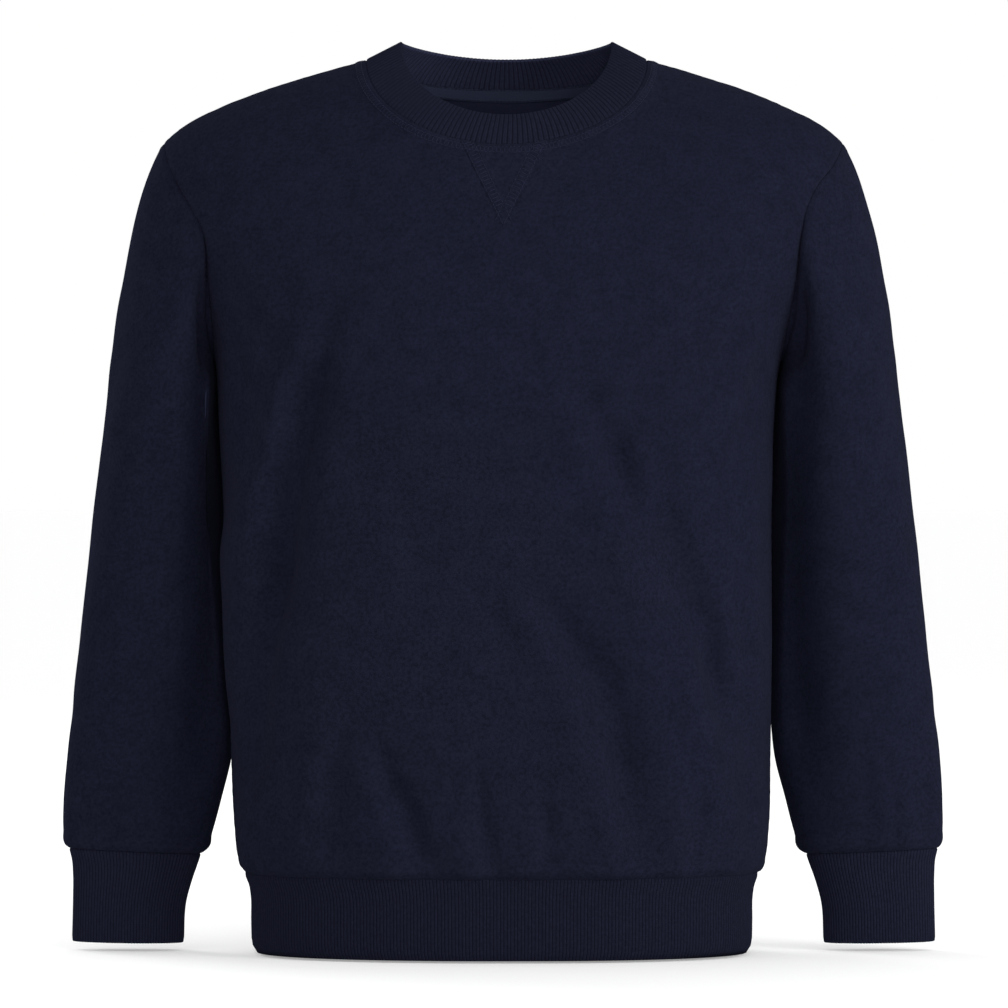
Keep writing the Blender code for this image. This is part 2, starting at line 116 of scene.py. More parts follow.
trunk = {
    "corner": 2.4,
    "rollFront": 0.100,
    "rollBack": 0.092,
    "sections": table(
        "height left right front back",
        (-0.6335, 0.1990, 0.1958, 0.1085, 0.0975),
        (-0.6300, 0.2038, 0.2008, 0.1145, 0.1035),
        (-0.6200, 0.2072, 0.2042, 0.1185, 0.1078),
        (-0.6000, 0.2095, 0.2065, 0.1205, 0.1098),
        (-0.5400, 0.2118, 0.2083, 0.1225, 0.1110),
        (-0.4600, 0.2135, 0.2087, 0.1240, 0.1112),
        (-0.3430, 0.2186, 0.2091, 0.1280, 0.1135),
        (-0.2800, 0.2216, 0.2108, 0.1310, 0.1170),
        (-0.2350, 0.2245, 0.2160, 0.1320, 0.1210),
        (-0.2050, 0.2308, 0.2255, 0.1300, 0.1230),
        (-0.1700, 0.2431, 0.2400, 0.1245, 0.1235),
        (-0.1350, 0.2551, 0.2541, 0.1150, 0.1220),
        (-0.1000, 0.2680, 0.2680, 0.1010, 0.1170),
        (-0.0680, 0.2840, 0.2840, 0.0850, 0.1080),
        (-0.0300, 0.3000, 0.3000, 0.0660, 0.0890),
        (0.0100, 0.3120, 0.3120, 0.0480, 0.0630),
    ),
    "armhole": table(
        "height left right",
        (-0.2350, 0.2245, 0.2160),
        (-0.2050, 0.2262, 0.2210),
        (-0.1700, 0.2285, 0.2262),
        (-0.1350, 0.2322, 0.2298),
        (-0.1180, 0.2414, 0.2340),
        (-0.1000, 0.2520, 0.2430),
        (-0.0830, 0.2600, 0.2565),
        (-0.0645, 0.2656, 0.2656),
    ),
    "shoulder": table(  # inside the neck it only shapes the cloth below, which climbs towards the neck
        "out height place",
        (0.0000, 0.0850, 0.0020),
        (0.0500, 0.0400, 0.0020),
        (0.0800, 0.0168, 0.0025),
        (0.1095, 0.0005, 0.0030),
        (0.1370, -0.0076, 0.0045),
        (0.1580, -0.0138, 0.0058),
        (0.1770, -0.0197, 0.0070),
        (0.1950, -0.0261, 0.0080),
        (0.2110, -0.0321, 0.0090),
        (0.2250, -0.0383, 0.0100),
        (0.2380, -0.0445, 0.0108),
        (0.2540, -0.0546, 0.0116),
        (0.2656, -0.0645, 0.0120),
        (0.2900, -0.0870, 0.0120),
    ),
    "folds": table(  # the largest folds: face -1 is the front and 1 the back
        "face startOut startHeight endOut endHeight width depth",
        (-1, 0.190, -0.205, 0.050, -0.360, 0.020, 0.0035),
        (-1, -0.185, -0.215, -0.090, -0.350, 0.018, 0.0025),
        (-1, 0.150, -0.300, 0.160, -0.520, 0.018, 0.0030),
        (-1, -0.165, -0.300, -0.170, -0.560, 0.016, 0.0030),
        (-1, 0.070, -0.440, 0.120, -0.620, 0.018, 0.0030),
        (-1, -0.120, -0.490, -0.060, -0.625, 0.016, 0.0025),
        (1, 0.175, -0.190, 0.080, -0.400, 0.020, 0.0040),
        (1, -0.180, -0.200, -0.060, -0.380, 0.020, 0.0035),
        (1, 0.120, -0.430, 0.150, -0.620, 0.018, 0.0035),
        (1, -0.030, -0.460, -0.110, -0.625, 0.018, 0.0035),
        (1, -0.150, -0.330, -0.165, -0.560, 0.016, 0.0030),
    ),
}


def sideReach(columns, across, height):
    return np.where(across < 0, readCurve(columns, "left", height), readCurve(columns, "right", height))


def foldDepth(across, height, face):
    total = 0
    for side, x0, z0, x1, z1, width, depth in zip(*trunk["folds"].values()):
        if side != face:
            continue
        run = np.array((x1 - x0, z1 - z0))
        place = ((across - x0) * run[0] + (height - z0) * run[1]) / (run @ run)
        away = ((across - x0) * run[1] - (height - z0) * run[0]) / math.sqrt(run @ run)
        past = np.clip(np.abs(place - 0.5) - 0.35, 0, None)
        total = total + depth * bell(away / width) * bell(past / 0.15)
    return total


def trunkPoint(angle, height, face):  # the angle runs from -90 degrees at the left side to 90 at the right
    share = np.sin(angle)
    across = sideReach(trunk["sections"], share, height) * share
    depth = readCurve(trunk["sections"], "front" if face < 0 else "back", height)
    corner = trunk["corner"]
    roundness = np.clip(1 - np.abs(share) ** corner, 0, 1) ** (1 / corner)
    drop = readCurve(trunk["shoulder"], "height", np.abs(across), "out") - height
    rollHeight = trunk["rollFront"] if face < 0 else trunk["rollBack"]
    roll = np.sqrt(np.clip(1 - np.clip(1 - drop / rollHeight, 0, 1) ** 2, 0, 1))
    seamPlace = readCurve(trunk["shoulder"], "place", np.abs(across), "out")
    depth = depth - foldDepth(across, height, face)
    place = seamPlace + (face * depth * roundness - seamPlace) * roll
    return np.stack(np.broadcast_arrays(across, place, height), axis=-1)


def angleOf(across, height):
    return np.arcsin(np.clip(across / sideReach(trunk["sections"], across, height), -1, 1))


def armholeHeights(shares):  # shares of the front of the armhole, from the armpit up
    fine = seam["armpit"] + (seam["tipHeight"] - seam["armpit"]) * np.linspace(0, 1, 400)
    points = trunkPoint(angleOf(-readCurve(trunk["armhole"], "left", fine), fine), fine, -1)
    length = np.concatenate(([0], np.cumsum(np.linalg.norm(np.diff(points, axis=0), axis=1))))
    return np.interp(shares**1.3 * length[-1], length, fine)


# Creases, one by one: a soft trough with a ridge beside it, or a ridge where the depth is negative

creases = {
    "front": table(
        "startOut startHeight endOut endHeight bend width depth",
        (-0.139, -0.235, -0.180, -0.425, 0.005, 0.0150, 0.0085),
        (-0.172, -0.385, -0.197, -0.560, 0.004, 0.0130, 0.0075),
        (-0.168, -0.265, -0.203, -0.385, -0.003, 0.0100, -0.0026),
        (0.068, -0.275, 0.138, -0.445, -0.007, 0.0150, 0.0050),
        (0.122, -0.325, 0.192, -0.530, 0.007, 0.0130, 0.0050),
        (0.160, -0.450, 0.188, -0.580, 0.002, 0.0110, 0.0036),
        (0.146, -0.212, 0.078, -0.330, 0.008, 0.0120, 0.0024),
        (0.036, -0.425, 0.096, -0.555, -0.008, 0.0155, 0.0058),
        (0.090, -0.535, 0.112, -0.622, 0.002, 0.0120, 0.0042),
        (-0.091, -0.545, -0.062, -0.618, -0.002, 0.0110, 0.0038),
        (-0.094, -0.536, -0.034, -0.553, 0.002, 0.0045, 0.0012),
        (-0.019, -0.552, -0.009, -0.628, 0.002, 0.0080, 0.0026),
        (0.205, -0.195, 0.150, -0.262, 0.006, 0.0090, 0.0026),
        (0.200, -0.225, 0.170, -0.330, -0.004, 0.0080, 0.0022),
        (-0.208, -0.190, -0.155, -0.262, -0.006, 0.0090, 0.0026),
        (-0.205, -0.225, -0.180, -0.330, 0.005, 0.0075, 0.0020),
        (0.180, -0.420, 0.196, -0.600, -0.005, 0.0080, 0.0020),
        (0.198, -0.545, 0.1985, -0.628, 0.000, 0.0035, -0.0016),
        (0.032, -0.565, 0.040, -0.630, 0.003, 0.0080, 0.0016),
        (-0.125, -0.520, -0.130, -0.629, 0.004, 0.0110, 0.0024),
        (0.150, -0.560, 0.154, -0.630, 0.002, 0.0090, 0.0018),
        (-0.2025, -0.600, -0.1965, -0.629, 0.001, 0.0032, -0.0015),
        (-0.080, -0.330, -0.040, -0.400, 0.006, 0.0160, 0.0016),
        (-0.010, -0.420, 0.030, -0.470, 0.008, 0.0180, 0.0014),
        (0.085, -0.105, 0.140, -0.085, 0.003, 0.0110, 0.0008),
        (-0.092, -0.100, -0.145, -0.088, -0.003, 0.0110, 0.0007),
    ),
    "back": table(
        "startOut startHeight endOut endHeight bend width depth",
        (0.200, -0.185, 0.105, -0.270, 0.007, 0.0095, 0.0026),
        (0.196, -0.220, 0.140, -0.345, -0.005, 0.0080, 0.0019),
        (-0.205, -0.190, -0.120, -0.260, -0.007, 0.0095, 0.0024),
        (-0.200, -0.225, -0.150, -0.350, 0.006, 0.0080, 0.0018),
        (0.170, -0.130, 0.090, -0.150, 0.005, 0.0120, 0.0013),
        (-0.172, -0.128, -0.080, -0.158, -0.004, 0.0120, 0.0014),
        (0.080, -0.075, 0.020, -0.105, 0.004, 0.0100, 0.0009),
        (-0.075, -0.080, -0.015, -0.118, -0.004, 0.0100, 0.0010),
        (0.150, -0.400, 0.060, -0.455, 0.010, 0.0130, 0.0022),
        (0.140, -0.455, 0.020, -0.500, 0.012, 0.0120, 0.0020),
        (-0.160, -0.420, -0.050, -0.480, -0.010, 0.0130, 0.0022),
        (-0.130, -0.490, -0.010, -0.530, -0.012, 0.0110, 0.0018),
        (0.180, -0.540, 0.165, -0.630, 0.003, 0.0080, 0.0017),
        (0.110, -0.550, 0.098, -0.630, -0.003, 0.0100, 0.0015),
        (0.040, -0.575, 0.052, -0.630, 0.003, 0.0080, 0.0012),
        (-0.022, -0.560, -0.012, -0.630, -0.003, 0.0100, 0.0013),
        (-0.090, -0.570, -0.082, -0.630, 0.003, 0.0080, 0.0011),
        (-0.150, -0.545, -0.162, -0.630, 0.002, 0.0090, 0.0017),
        (-0.190, -0.400, -0.196, -0.560, -0.004, 0.0080, 0.0017),
        (0.005, -0.260, 0.012, -0.370, 0.008, 0.0200, 0.0012),
    ),
    "sleeveLeft": table(  # out is the distance round the sleeve from its outer side, + towards the front
        "startOut startHeight endOut endHeight bend width depth",
        (0.075, -0.215, 0.020, -0.262, 0.006, 0.0085, 0.0020),
        (0.082, -0.250, 0.030, -0.320, -0.005, 0.0085, 0.0018),
        (0.094, -0.300, 0.060, -0.395, 0.004, 0.0075, 0.0015),
        (0.100, -0.392, 0.036, -0.425, 0.006, 0.0080, 0.0023),
        (0.098, -0.425, 0.026, -0.452, -0.005, 0.0070, 0.0020),
        (0.094, -0.470, 0.048, -0.455, 0.004, 0.0065, 0.0013),
        (-0.030, -0.470, 0.018, -0.520, 0.006, 0.0110, 0.0012),
        (-0.075, -0.205, -0.030, -0.275, -0.006, 0.0090, 0.0022),
        (-0.086, -0.255, -0.040, -0.340, 0.005, 0.0090, 0.0019),
        (-0.095, -0.380, -0.035, -0.420, -0.007, 0.0090, 0.0026),
        (-0.098, -0.430, -0.030, -0.455, 0.005, 0.0080, 0.0024),
        (-0.092, -0.480, -0.045, -0.470, -0.004, 0.0070, 0.0016),
        (0.030, -0.560, 0.026, -0.616, 0.002, 0.0070, 0.0014),
        (0.052, -0.580, 0.050, -0.616, -0.001, 0.0050, 0.0011),
        (0.004, -0.575, 0.008, -0.616, 0.001, 0.0060, 0.0011),
        (-0.022, -0.570, -0.020, -0.616, 0.002, 0.0060, 0.0013),
        (-0.050, -0.555, -0.046, -0.616, -0.002, 0.0070, 0.0016),
        (0.078, -0.550, 0.074, -0.616, 0.002, 0.0070, 0.0015),
        (-0.078, -0.575, -0.074, -0.616, 0.001, 0.0060, 0.0013),
        (-0.010, -0.110, 0.004, -0.180, 0.004, 0.0120, 0.0010),
    ),
}
creases["front"]["depth"] *= 1.5
creases["back"]["depth"] *= 2.2
creases["sleeveLeft"]["depth"][:7] *= 0.65
creases["sleeveRight"] = {name: values.copy() for name, values in creases["sleeveLeft"].items()}
creases["sleeveRight"]["startHeight"] += np.linspace(-0.008, 0.007, 20)  # the two sleeves are not twins
creases["sleeveRight"]["endHeight"][:12] += np.linspace(0.009, -0.008, 12)
creases["sleeveRight"]["depth"] *= 0.8 + 0.35 * np.cos(np.arange(20) * 2.1) ** 2


def creaseLift(name, out, height):
    total = np.zeros(np.broadcast(out, height).shape)
    for x0, z0, x1, z1, bend, width, depth in zip(*creases[name].values()):
        run = np.array((x1 - x0, z1 - z0))
        length = math.sqrt(run @ run)
        place = ((out - x0) * run[0] + (height - z0) * run[1]) / (run @ run)
        within = np.clip(place, 0, 1)
        away = ((out - x0) * run[1] - (height - z0) * run[0]) / length - bend * np.sin(math.pi * within)
        wide = width * (0.75 + 0.5 * within)
        past = np.clip(np.abs(place - 0.5) - 0.3, 0, None) * length / (0.35 * length + 0.004)
        fade = bell(past * 1.4)
        total += depth * fade * (0.45 * bell((away - 1.9 * wide) / wide) - bell(away / wide))
    return total


def slackLift(points, size=0.0004):  # the slow unevenness of soft cloth, the same on both sides of a seam
    x, y, z = np.moveaxis(points, -1, 0)
    waves = np.sin(31 * x + 17 * z + 1.3) * np.sin(23 * z - 11 * y + 0.4)
    waves = waves + 0.6 * np.sin(57 * x - 43 * z + 29 * y + 2.2)
    waves = waves + 0.35 * np.sin(97 * z + 61 * y - 83 * x + 0.9)
    return size * waves


def gridNormals(points, roundShape, outward):
    wrapped = np.concatenate((points[:, -1:], points, points[:, :1]), axis=1) if roundShape else points
    along = np.gradient(wrapped, axis=1)
    if roundShape:
        along = along[:, 1:-1]
    return unit(np.cross(along, np.gradient(points, axis=0)) * outward)


def shareNormals(pieces):  # where two pieces meet at a seam they get the same direction out
    points = np.concatenate([piece["points"].reshape(-1, 3) for piece in pieces])
    normals = np.concatenate([piece["normals"].reshape(-1, 3) for piece in pieces])
    _, same = np.unique(np.round(points * 1e6).astype(int), axis=0, return_inverse=True)
    same = same.reshape(-1)
    total = np.zeros((same.max() + 1, 3))
    np.add.at(total, same, normals)
    shared = unit(total)[same]
    start = 0
    for piece in pieces:
        count = piece["normals"].size // 3
        piece["normals"] = shared[start : start + count].reshape(piece["normals"].shape)
        start += count


def distanceTo(points, line):  # from each point to a line of points, which is made dense first
    line = densePath(line, 0.0007)
    tree = KDTree(len(line))
    for index, point in enumerate(line):
        tree.insert(point, index)
    tree.balance()
    flat = points.reshape(-1, 3)
    return np.array([tree.find(point)[2] for point in flat]).reshape(points.shape[:-1])


def lengthAlong(points):
    steps = np.linalg.norm(np.diff(points, axis=0), axis=-1)
    return np.concatenate((np.zeros((1,) + steps.shape[1:]), np.cumsum(steps, axis=0)))


def densePath(points, cell):
    length = lengthAlong(points)
    places = np.linspace(0, length[-1], max(2, int(length[-1] / cell) + 1))
    return np.stack([np.interp(places, length, points[:, k]) for k in range(3)], axis=-1)


def evenShares(ring, count):  # shares round a closed ring, given as a function, at even lengths
    shares = np.linspace(0, 1, 4001)
    length = lengthAlong(ring(shares))
    return np.interp(np.linspace(0, length[-1], count, endpoint=False), length, shares)


panelForm = {
    "cell": 0.0042,
    "fineCell": 0.0009,
    "ramp": 0.022,
    "neckCells": 92,
    "spread": math.radians(26),  # how much of the hem lies below the neck
    "topReach": 0.31,
    "neckLean": math.radians(35),  # how the columns of the cloth lean where they reach the neck
    "tipLean": math.radians(-17),
}


def neckShares():
    return np.linspace(0, 1, panelForm["neckCells"] + 1)


def neckOutline(turn, drop):
    return neckCut["halfWidth"] * np.cos(turn), neckCut["height"] - drop * np.sin(turn)


def columnCurves(low, top, lean, shares):  # from the armpit row up to the shoulders and the neck
    rise = shares[:, None, None]
    chord = np.linalg.norm(top - low, axis=-1)[None, :, None]
    upright = np.array((0.0, 1.0))
    arriving = np.stack((np.sin(lean), np.cos(lean)), axis=-1)
    curve = low * (1 + 2 * rise) * (1 - rise) ** 2 + top * rise * rise * (3 - 2 * rise)
    return curve + chord * (upright * rise * (1 - rise) ** 2 + arriving * rise * rise * (rise - 1))


def panelGrid(face, armShares):  # rows from the hem up, from left to right
    form = panelForm
    drop = neckCut["dropFront"] if face < 0 else neckCut["dropBack"]
    side = spaced(0.150, form["cell"], form["fineCell"], form["ramp"], "start")
    out = seam["tipOut"] + (neckCut["halfWidth"] - seam["tipOut"]) * side
    outHeight = readCurve(trunk["shoulder"], "height", out, "out")
    neckAcross, neckHeight = neckOutline(math.pi * (1 - neckShares()), drop)
    topAcross = np.concatenate((-out[:-1], neckAcross, out[::-1][1:]))
    topHeight = np.concatenate((outHeight[:-1], neckHeight, outHeight[::-1][1:]))
    quarter = math.pi / 2
    sideAngle = -quarter + (quarter - form["spread"]) * side
    middle = form["spread"] * (2 * neckShares() - 1)
    hemAngle = np.concatenate((sideAngle[:-1], middle, -sideAngle[::-1][1:]))
    topAngle = np.arcsin(np.clip(topAcross / form["topReach"], -1, 1))
    armpitAngle = hemAngle * 0.4 + topAngle / topAngle[-1] * quarter * 0.6
    shares = spaced(0.40, form["cell"], form["fineCell"], form["ramp"], "start")
    heights = seam["hem"] + (seam["armpit"] - seam["hem"]) * shares
    angle = hemAngle * (1 - shares[:, None]) + armpitAngle * shares[:, None]
    lower = trunkPoint(angle, heights[:, None], face)
    sideLean = form["tipLean"] + (form["neckLean"] - form["tipLean"]) * side
    neckLean = form["neckLean"] * np.cos(math.pi * neckShares())
    lean = np.concatenate((sideLean[:-1], neckLean, -sideLean[::-1][1:]))
    armHeights = armholeHeights(armShares)
    upper = columnCurves(lower[-1][:, ::2], np.stack((topAcross, topHeight), axis=-1), lean, armShares**1.3)
    column = (np.arange(len(topAcross)) / (len(topAcross) - 1))[:, None]
    for sign, name in ((-1, "left"), (1, "right")):
        edge = np.stack((sign * readCurve(trunk["armhole"], name, armHeights), armHeights), axis=-1)
        near = 1 - column if sign < 0 else column
        upper = upper + (edge - upper[:, -1 if sign > 0 else 0])[:, None] * near**3
    upper = trunkPoint(angleOf(upper[..., 0], upper[..., 1]), upper[..., 1], face)
    upper[-1, :, 0] = topAcross
    upper[-1, :, 2] = topHeight
    return np.concatenate((lower[:-1], upper)), len(lower) - 1, len(side) - 1


sleeveForm = {
    "topHeight": -0.275,
    "clearance": 0.0025,
    "clearedFrom": -0.150,
    "fromArmpit": (-0.25, 0.0, -0.75),
    "fromShoulder": (0.35, 0.0, -0.60),
    "hanging": (0.12, 0.05, -1.0),
    "slope": 0.0022,
    "tuck": 0.0095,  # how far the front of a sleeve sinks beside the trunk
    "tuckPlace": 0.13,  # as a share of the way round from the sleeve's inner side
    "tuckWidth": 0.065,
    "tuckShift": 0.045,  # moved out by this share at the armpit, to stay clear of it
    "dip": 0.0065,  # how far it sinks just below the armhole seam
    "dipPlace": 0.19,
    "dipWidth": 0.075,
    "dipAway": 0.014,
    "sections": table(
        "height outer inner front back",
        (-0.6188, 0.3412, 0.2378, 0.0110, 0.0545),
        (-0.6150, 0.3444, 0.2322, 0.0082, 0.0578),
        (-0.6030, 0.3459, 0.2287, 0.0060, 0.0600),
        (-0.5800, 0.3455, 0.2222, 0.0030, 0.0640),
        (-0.5460, 0.3427, 0.2131, -0.0015, 0.0700),
        (-0.5000, 0.3382, 0.2068, -0.0080, 0.0775),
        (-0.4200, 0.3290, 0.2010, -0.0210, 0.0880),
        (-0.3430, 0.3203, 0.1985, -0.0370, 0.0930),
        (-0.2750, 0.3115, 0.1970, -0.0550, 0.0945),
    ),
}


def ringSection(columns, height, shares):  # an oval ring, from its inner side round by the front
    sides = ("outer", "inner", "front", "back")
    outer, inner, front, back = (readCurve(columns, name, height) for name in sides)
    turn = math.pi * (1 - 2 * shares)
    across = (outer + inner) / 2 + (outer - inner) / 2 * np.cos(turn)
    place = (front + back) / 2 - (back - front) / 2 * np.sin(turn)
    slope = sleeveForm["slope"] * ease((-0.56 - height) / 0.05)
    slope = slope * (0.25 + 0.75 * ease((height + 0.692) / 0.055))
    return np.stack(np.broadcast_arrays(across, place, height + slope * np.cos(turn)), axis=-1)


def clearOfTrunk(points, name, clearance):
    sections = trunk["sections"]
    corner = trunk["corner"]
    reach = readCurve(sections, name, points[..., 2])
    front = readCurve(sections, "front", points[..., 2])
    back = readCurve(sections, "back", points[..., 2])
    across = np.abs(points[..., 0]) / (reach + clearance)
    depth = np.abs(points[..., 1]) / (np.where(points[..., 1] < 0, front, back) + clearance)
    share = (across**corner + depth**corner) ** (1 / corner)
    wanted = 0.5 * (share + 1 + np.sqrt((share - 1) ** 2 + 0.02**2))
    return points * np.stack((wanted / share, wanted / share, np.ones_like(share)), axis=-1)


def sleeveGrid(edge, shares, name):  # rings of the right sleeve, from its armhole seam down
    form = sleeveForm
    top = ringSection(form["sections"], form["topHeight"], shares)
    turn = math.pi * (1 - 2 * shares)
    outerness = (0.5 + 0.5 * np.cos(turn))[:, None]
    start = np.array(form["fromArmpit"]) * (1 - outerness) + np.array(form["fromShoulder"]) * outerness
    start = start + np.array((0.0, 0.25, 0.0)) * (-np.sin(turn))[:, None]
    reach = np.linalg.norm(top - edge, axis=1)[:, None]
    rings = []
    for t in spaced(0.15, 0.0040, 0.0009, 0.016, "start"):
        ring = edge * (1 + 2 * t) * (1 - t) ** 2 + top * t * t * (3 - 2 * t)
        ring = ring + start * reach * t * (1 - t) ** 2 * (0.9 + 0.3 * outerness)
        ring = ring + np.array(form["hanging"]) * reach * t * t * (t - 1)
        settled = clearOfTrunk(ring, name, form["clearance"] * ease(t) ** 2)
        share = ease((form["clearedFrom"] - ring[:, 2]) / 0.05)[:, None] * (t > 0)
        rings.append(ring + (settled - ring) * share)
    fall = form["topHeight"] - seam["cuff"]
    for t in spaced(fall, 0.0040, 0.0009, 0.022, "end")[1:]:
        height = form["topHeight"] - fall * t
        rings.append(clearOfTrunk(ringSection(form["sections"], height, shares), name, form["clearance"]))
    rings[-1] = ringSection(form["sections"], seam["cuff"], shares)
    return np.array(rings)


def mirrored(points):
    return points * np.array((-1.0, 1.0, 1.0))


def neckSeam(shares):  # round the neck: left, front, right, back
    frontAcross, frontHeight = neckOutline(math.pi * (1 - 2 * shares), neckCut["dropFront"])
    backAcross, backHeight = neckOutline(math.pi * (2 * shares - 1), neckCut["dropBack"])
    front = trunkPoint(angleOf(frontAcross, frontHeight), frontHeight, -1)
    back = trunkPoint(angleOf(backAcross, backHeight), backHeight, 1)
    return np.where((shares <= 0.5)[..., None], front, back)


def hemRing(shares):  # round the hem seam: left, front, right, back
    angle = np.where(shares <= 0.5, math.pi * (2 * shares - 0.5), math.pi * (1.5 - 2 * shares))
    front = trunkPoint(angle, np.full_like(shares, seam["hem"]), -1)
    back = trunkPoint(angle, np.full_like(shares, seam["hem"]), 1)
    return np.where((shares <= 0.5)[..., None], front, back)


def layWall(name, outer, inner, roundShape, flip, spots, finishes):
    # one closed wall: an outer and an inner grid with a rim, and a map of the cloth in metres
    rows, columns = outer.shape[:2]
    size = rows * columns
    index = np.arange(size).reshape(rows, columns)
    across = np.concatenate((index, index[:, :1]), axis=1) if roundShape else index
    corners = (across[:-1, :-1], across[:-1, 1:], across[1:, 1:], across[1:, :-1])
    corners = np.stack(corners, axis=-1).reshape(-1, 4)
    spot = (spots[:-1, :-1], spots[:-1, 1:], spots[1:, 1:], spots[1:, :-1])
    spot = np.stack(spot, axis=2).reshape(-1, 4, 2)
    rims = [(across[0, :-1], across[0, 1:], spots[0, :-1], spots[0, 1:])]
    rims.append((across[-1, 1:], across[-1, :-1], spots[-1, 1:], spots[-1, :-1]))
    if not roundShape:
        rims.append((index[1:, 0], index[:-1, 0], spots[1:, 0], spots[:-1, 0]))
        rims.append((index[:-1, -1], index[1:, -1], spots[:-1, -1], spots[1:, -1]))
    faces = [corners, corners[:, ::-1] + size]
    places = [spot, spot[:, ::-1]]
    for start, end, startSpot, endSpot in rims:
        faces.append(np.stack((end, start, start + size, end + size), axis=-1))
        places.append(np.stack((endSpot, startSpot, startSpot, endSpot), axis=1))
    faces = np.concatenate(faces)
    places = np.concatenate(places)
    if flip:
        faces = faces[:, ::-1]
        places = places[:, ::-1]
    kinds = np.zeros(len(faces), int)
    kinds[len(corners) :] = len(finishes) - 1
    points = np.concatenate((outer.reshape(-1, 3), inner.reshape(-1, 3)))
    return addMesh(name, points, faces, places.reshape(-1, 2), finishes, kinds)


def neckMoved(points):  # the neck sits a little to the right of the middle of the body
    share = ease((points[:, 2] + 0.085) / 0.045) * ease((0.215 - np.abs(points[:, 0])) / 0.09)
    return points + share[:, None] * np.array((0.0024, 0.0, 0.0))


def addMesh(name, points, faces, spots, finishes, kinds=None):
    points = neckMoved(points)
    mesh = bpy.data.meshes.new(name)
    mesh.from_pydata(points.tolist(), [], faces.tolist())
    layer = mesh.uv_layers.new(name="clothMap")
    layer.data.foreach_set("uv", np.asarray(spots, np.float32).reshape(-1))
    for finish in finishes:
        mesh.materials.append(finish)
    if kinds is not None:
        mesh.polygons.foreach_set("material_index", kinds.astype(np.int32))
    mesh.shade_smooth()
    mesh.update()
    made = bpy.data.objects.new(name, mesh)
    bpy.context.scene.collection.objects.link(made)
    print("made", name, len(mesh.polygons), "faces")
    return made


def gridSpots(points, roundShape):  # metres across and along the cloth, for its knit
    closed = np.concatenate((points, points[:, :1]), axis=1) if roundShape else points
    across = lengthAlong(np.swapaxes(closed, 0, 1)).T
    middle = across[:, -1:] / 2
    along = lengthAlong(closed)
    return np.stack((across - middle, along), axis=-1)


# A wire is one socket, and an expression on wires adds the nodes for it


class Wire:
    def __init__(self, finish, socket):
        self.finish = finish
        self.socket = socket

    def maths(self, operation, *values):
        return self.finish.node("ShaderNodeMath", {"operation": operation}, dict(enumerate(values)))

    def __add__(self, other):
        return self.maths("ADD", self, other)

    def __sub__(self, other):
        return self.maths("SUBTRACT", self, other)

    def __rsub__(self, other):
        return self.maths("SUBTRACT", other, self)

    def __mul__(self, other):
        return self.maths("MULTIPLY", self, other)

    def __truediv__(self, other):
        return self.maths("DIVIDE", self, other)

    def __pow__(self, other):
        return self.maths("POWER", self, other)

    __radd__ = __add__
    __rmul__ = __mul__

    def fraction(self):
        return self.maths("FRACT", self)

    def sine(self):
        return self.maths("SINE", self)

    def size(self):
        return self.maths("ABSOLUTE", self)

    def between(self, low, high):
        return self.maths("MAXIMUM", self.maths("MINIMUM", self, high), low)


class Finish:
    def __init__(self, name, roughness, sheen, sheenTint, specular=0.0):
        self.material = bpy.data.materials.new(name)
        self.material.use_nodes = True
        self.tree = self.material.node_tree
        self.shader = self.tree.nodes["Principled BSDF"]
        self.put(self.shader.inputs["Roughness"], roughness)
        self.put(self.shader.inputs["Specular IOR Level"], specular)
        self.put(self.shader.inputs["Sheen Weight"], sheen)
        self.put(self.shader.inputs["Sheen Roughness"], 0.45)
        self.put(self.shader.inputs["Sheen Tint"], sheenTint)

    def put(self, socket, value):
        if isinstance(value, Wire):
            self.tree.links.new(value.socket, socket)
        else:
            socket.default_value = value

    def node(self, kind, settings=None, values=None, output=0):
        made = self.tree.nodes.new(kind)
        for name, value in (settings or {}).items():
            setattr(made, name, value)
        for name, value in (values or {}).items():
            self.put(made.inputs[name], value)
        return Wire(self, made.outputs[output])

    def clothMap(self):
        place = self.node("ShaderNodeUVMap", {"uv_map": "clothMap"})
        across = self.node("ShaderNodeSeparateXYZ", None, {0: place}, "X")
        along = self.node("ShaderNodeSeparateXYZ", None, {0: place}, "Y")
        return across, along

    def noise(self, scale, detail=2.0, roughness=0.5):
        place = self.node("ShaderNodeTexCoord", None, None, "Object")
        values = {"Vector": place, "Scale": scale, "Detail": detail, "Roughness": roughness}
        return self.node("ShaderNodeTexNoise", None, values, "Fac")

    def mix(self, share, first, second):
        values = {0: share, 6: first, 7: second}
        return self.node("ShaderNodeMix", {"data_type": "RGBA", "clamp_factor": True}, values, 2)

    def bump(self, height, depth):
        values = {"Height": height, "Strength": 1.0, "Distance": depth}
        self.put(self.shader.inputs["Normal"], self.node("ShaderNodeBump", None, values))

    def colour(self, value):
        self.put(self.shader.inputs["Base Color"], value)

    def roughness(self, value):
        self.put(self.shader.inputs["Roughness"], value)


def shade(colour, factor):
    return tuple(part * factor for part in colour) + (1.0,)


def knitHeight(wale, course):  # columns of small slanted loops, two legs to a wale
    leg = (wale.fraction() - 0.5).size() * 2
    slant = (course + leg * 0.55).fraction()
    loop = (slant * math.pi).sine() * 0.55 + 0.45
    middle = (leg - 0.5).size() * 2
    return (1 - middle * middle) * loop


fleece = {
    "colour": (0.0062, 0.0070, 0.0144),
    "wale": 0.00125,
    "course": 0.00100,
    "loopDepth": 0.00010,
    "sheen": 0.015,
    "sheenTint": (0.50, 0.54, 0.80, 1.0),
}


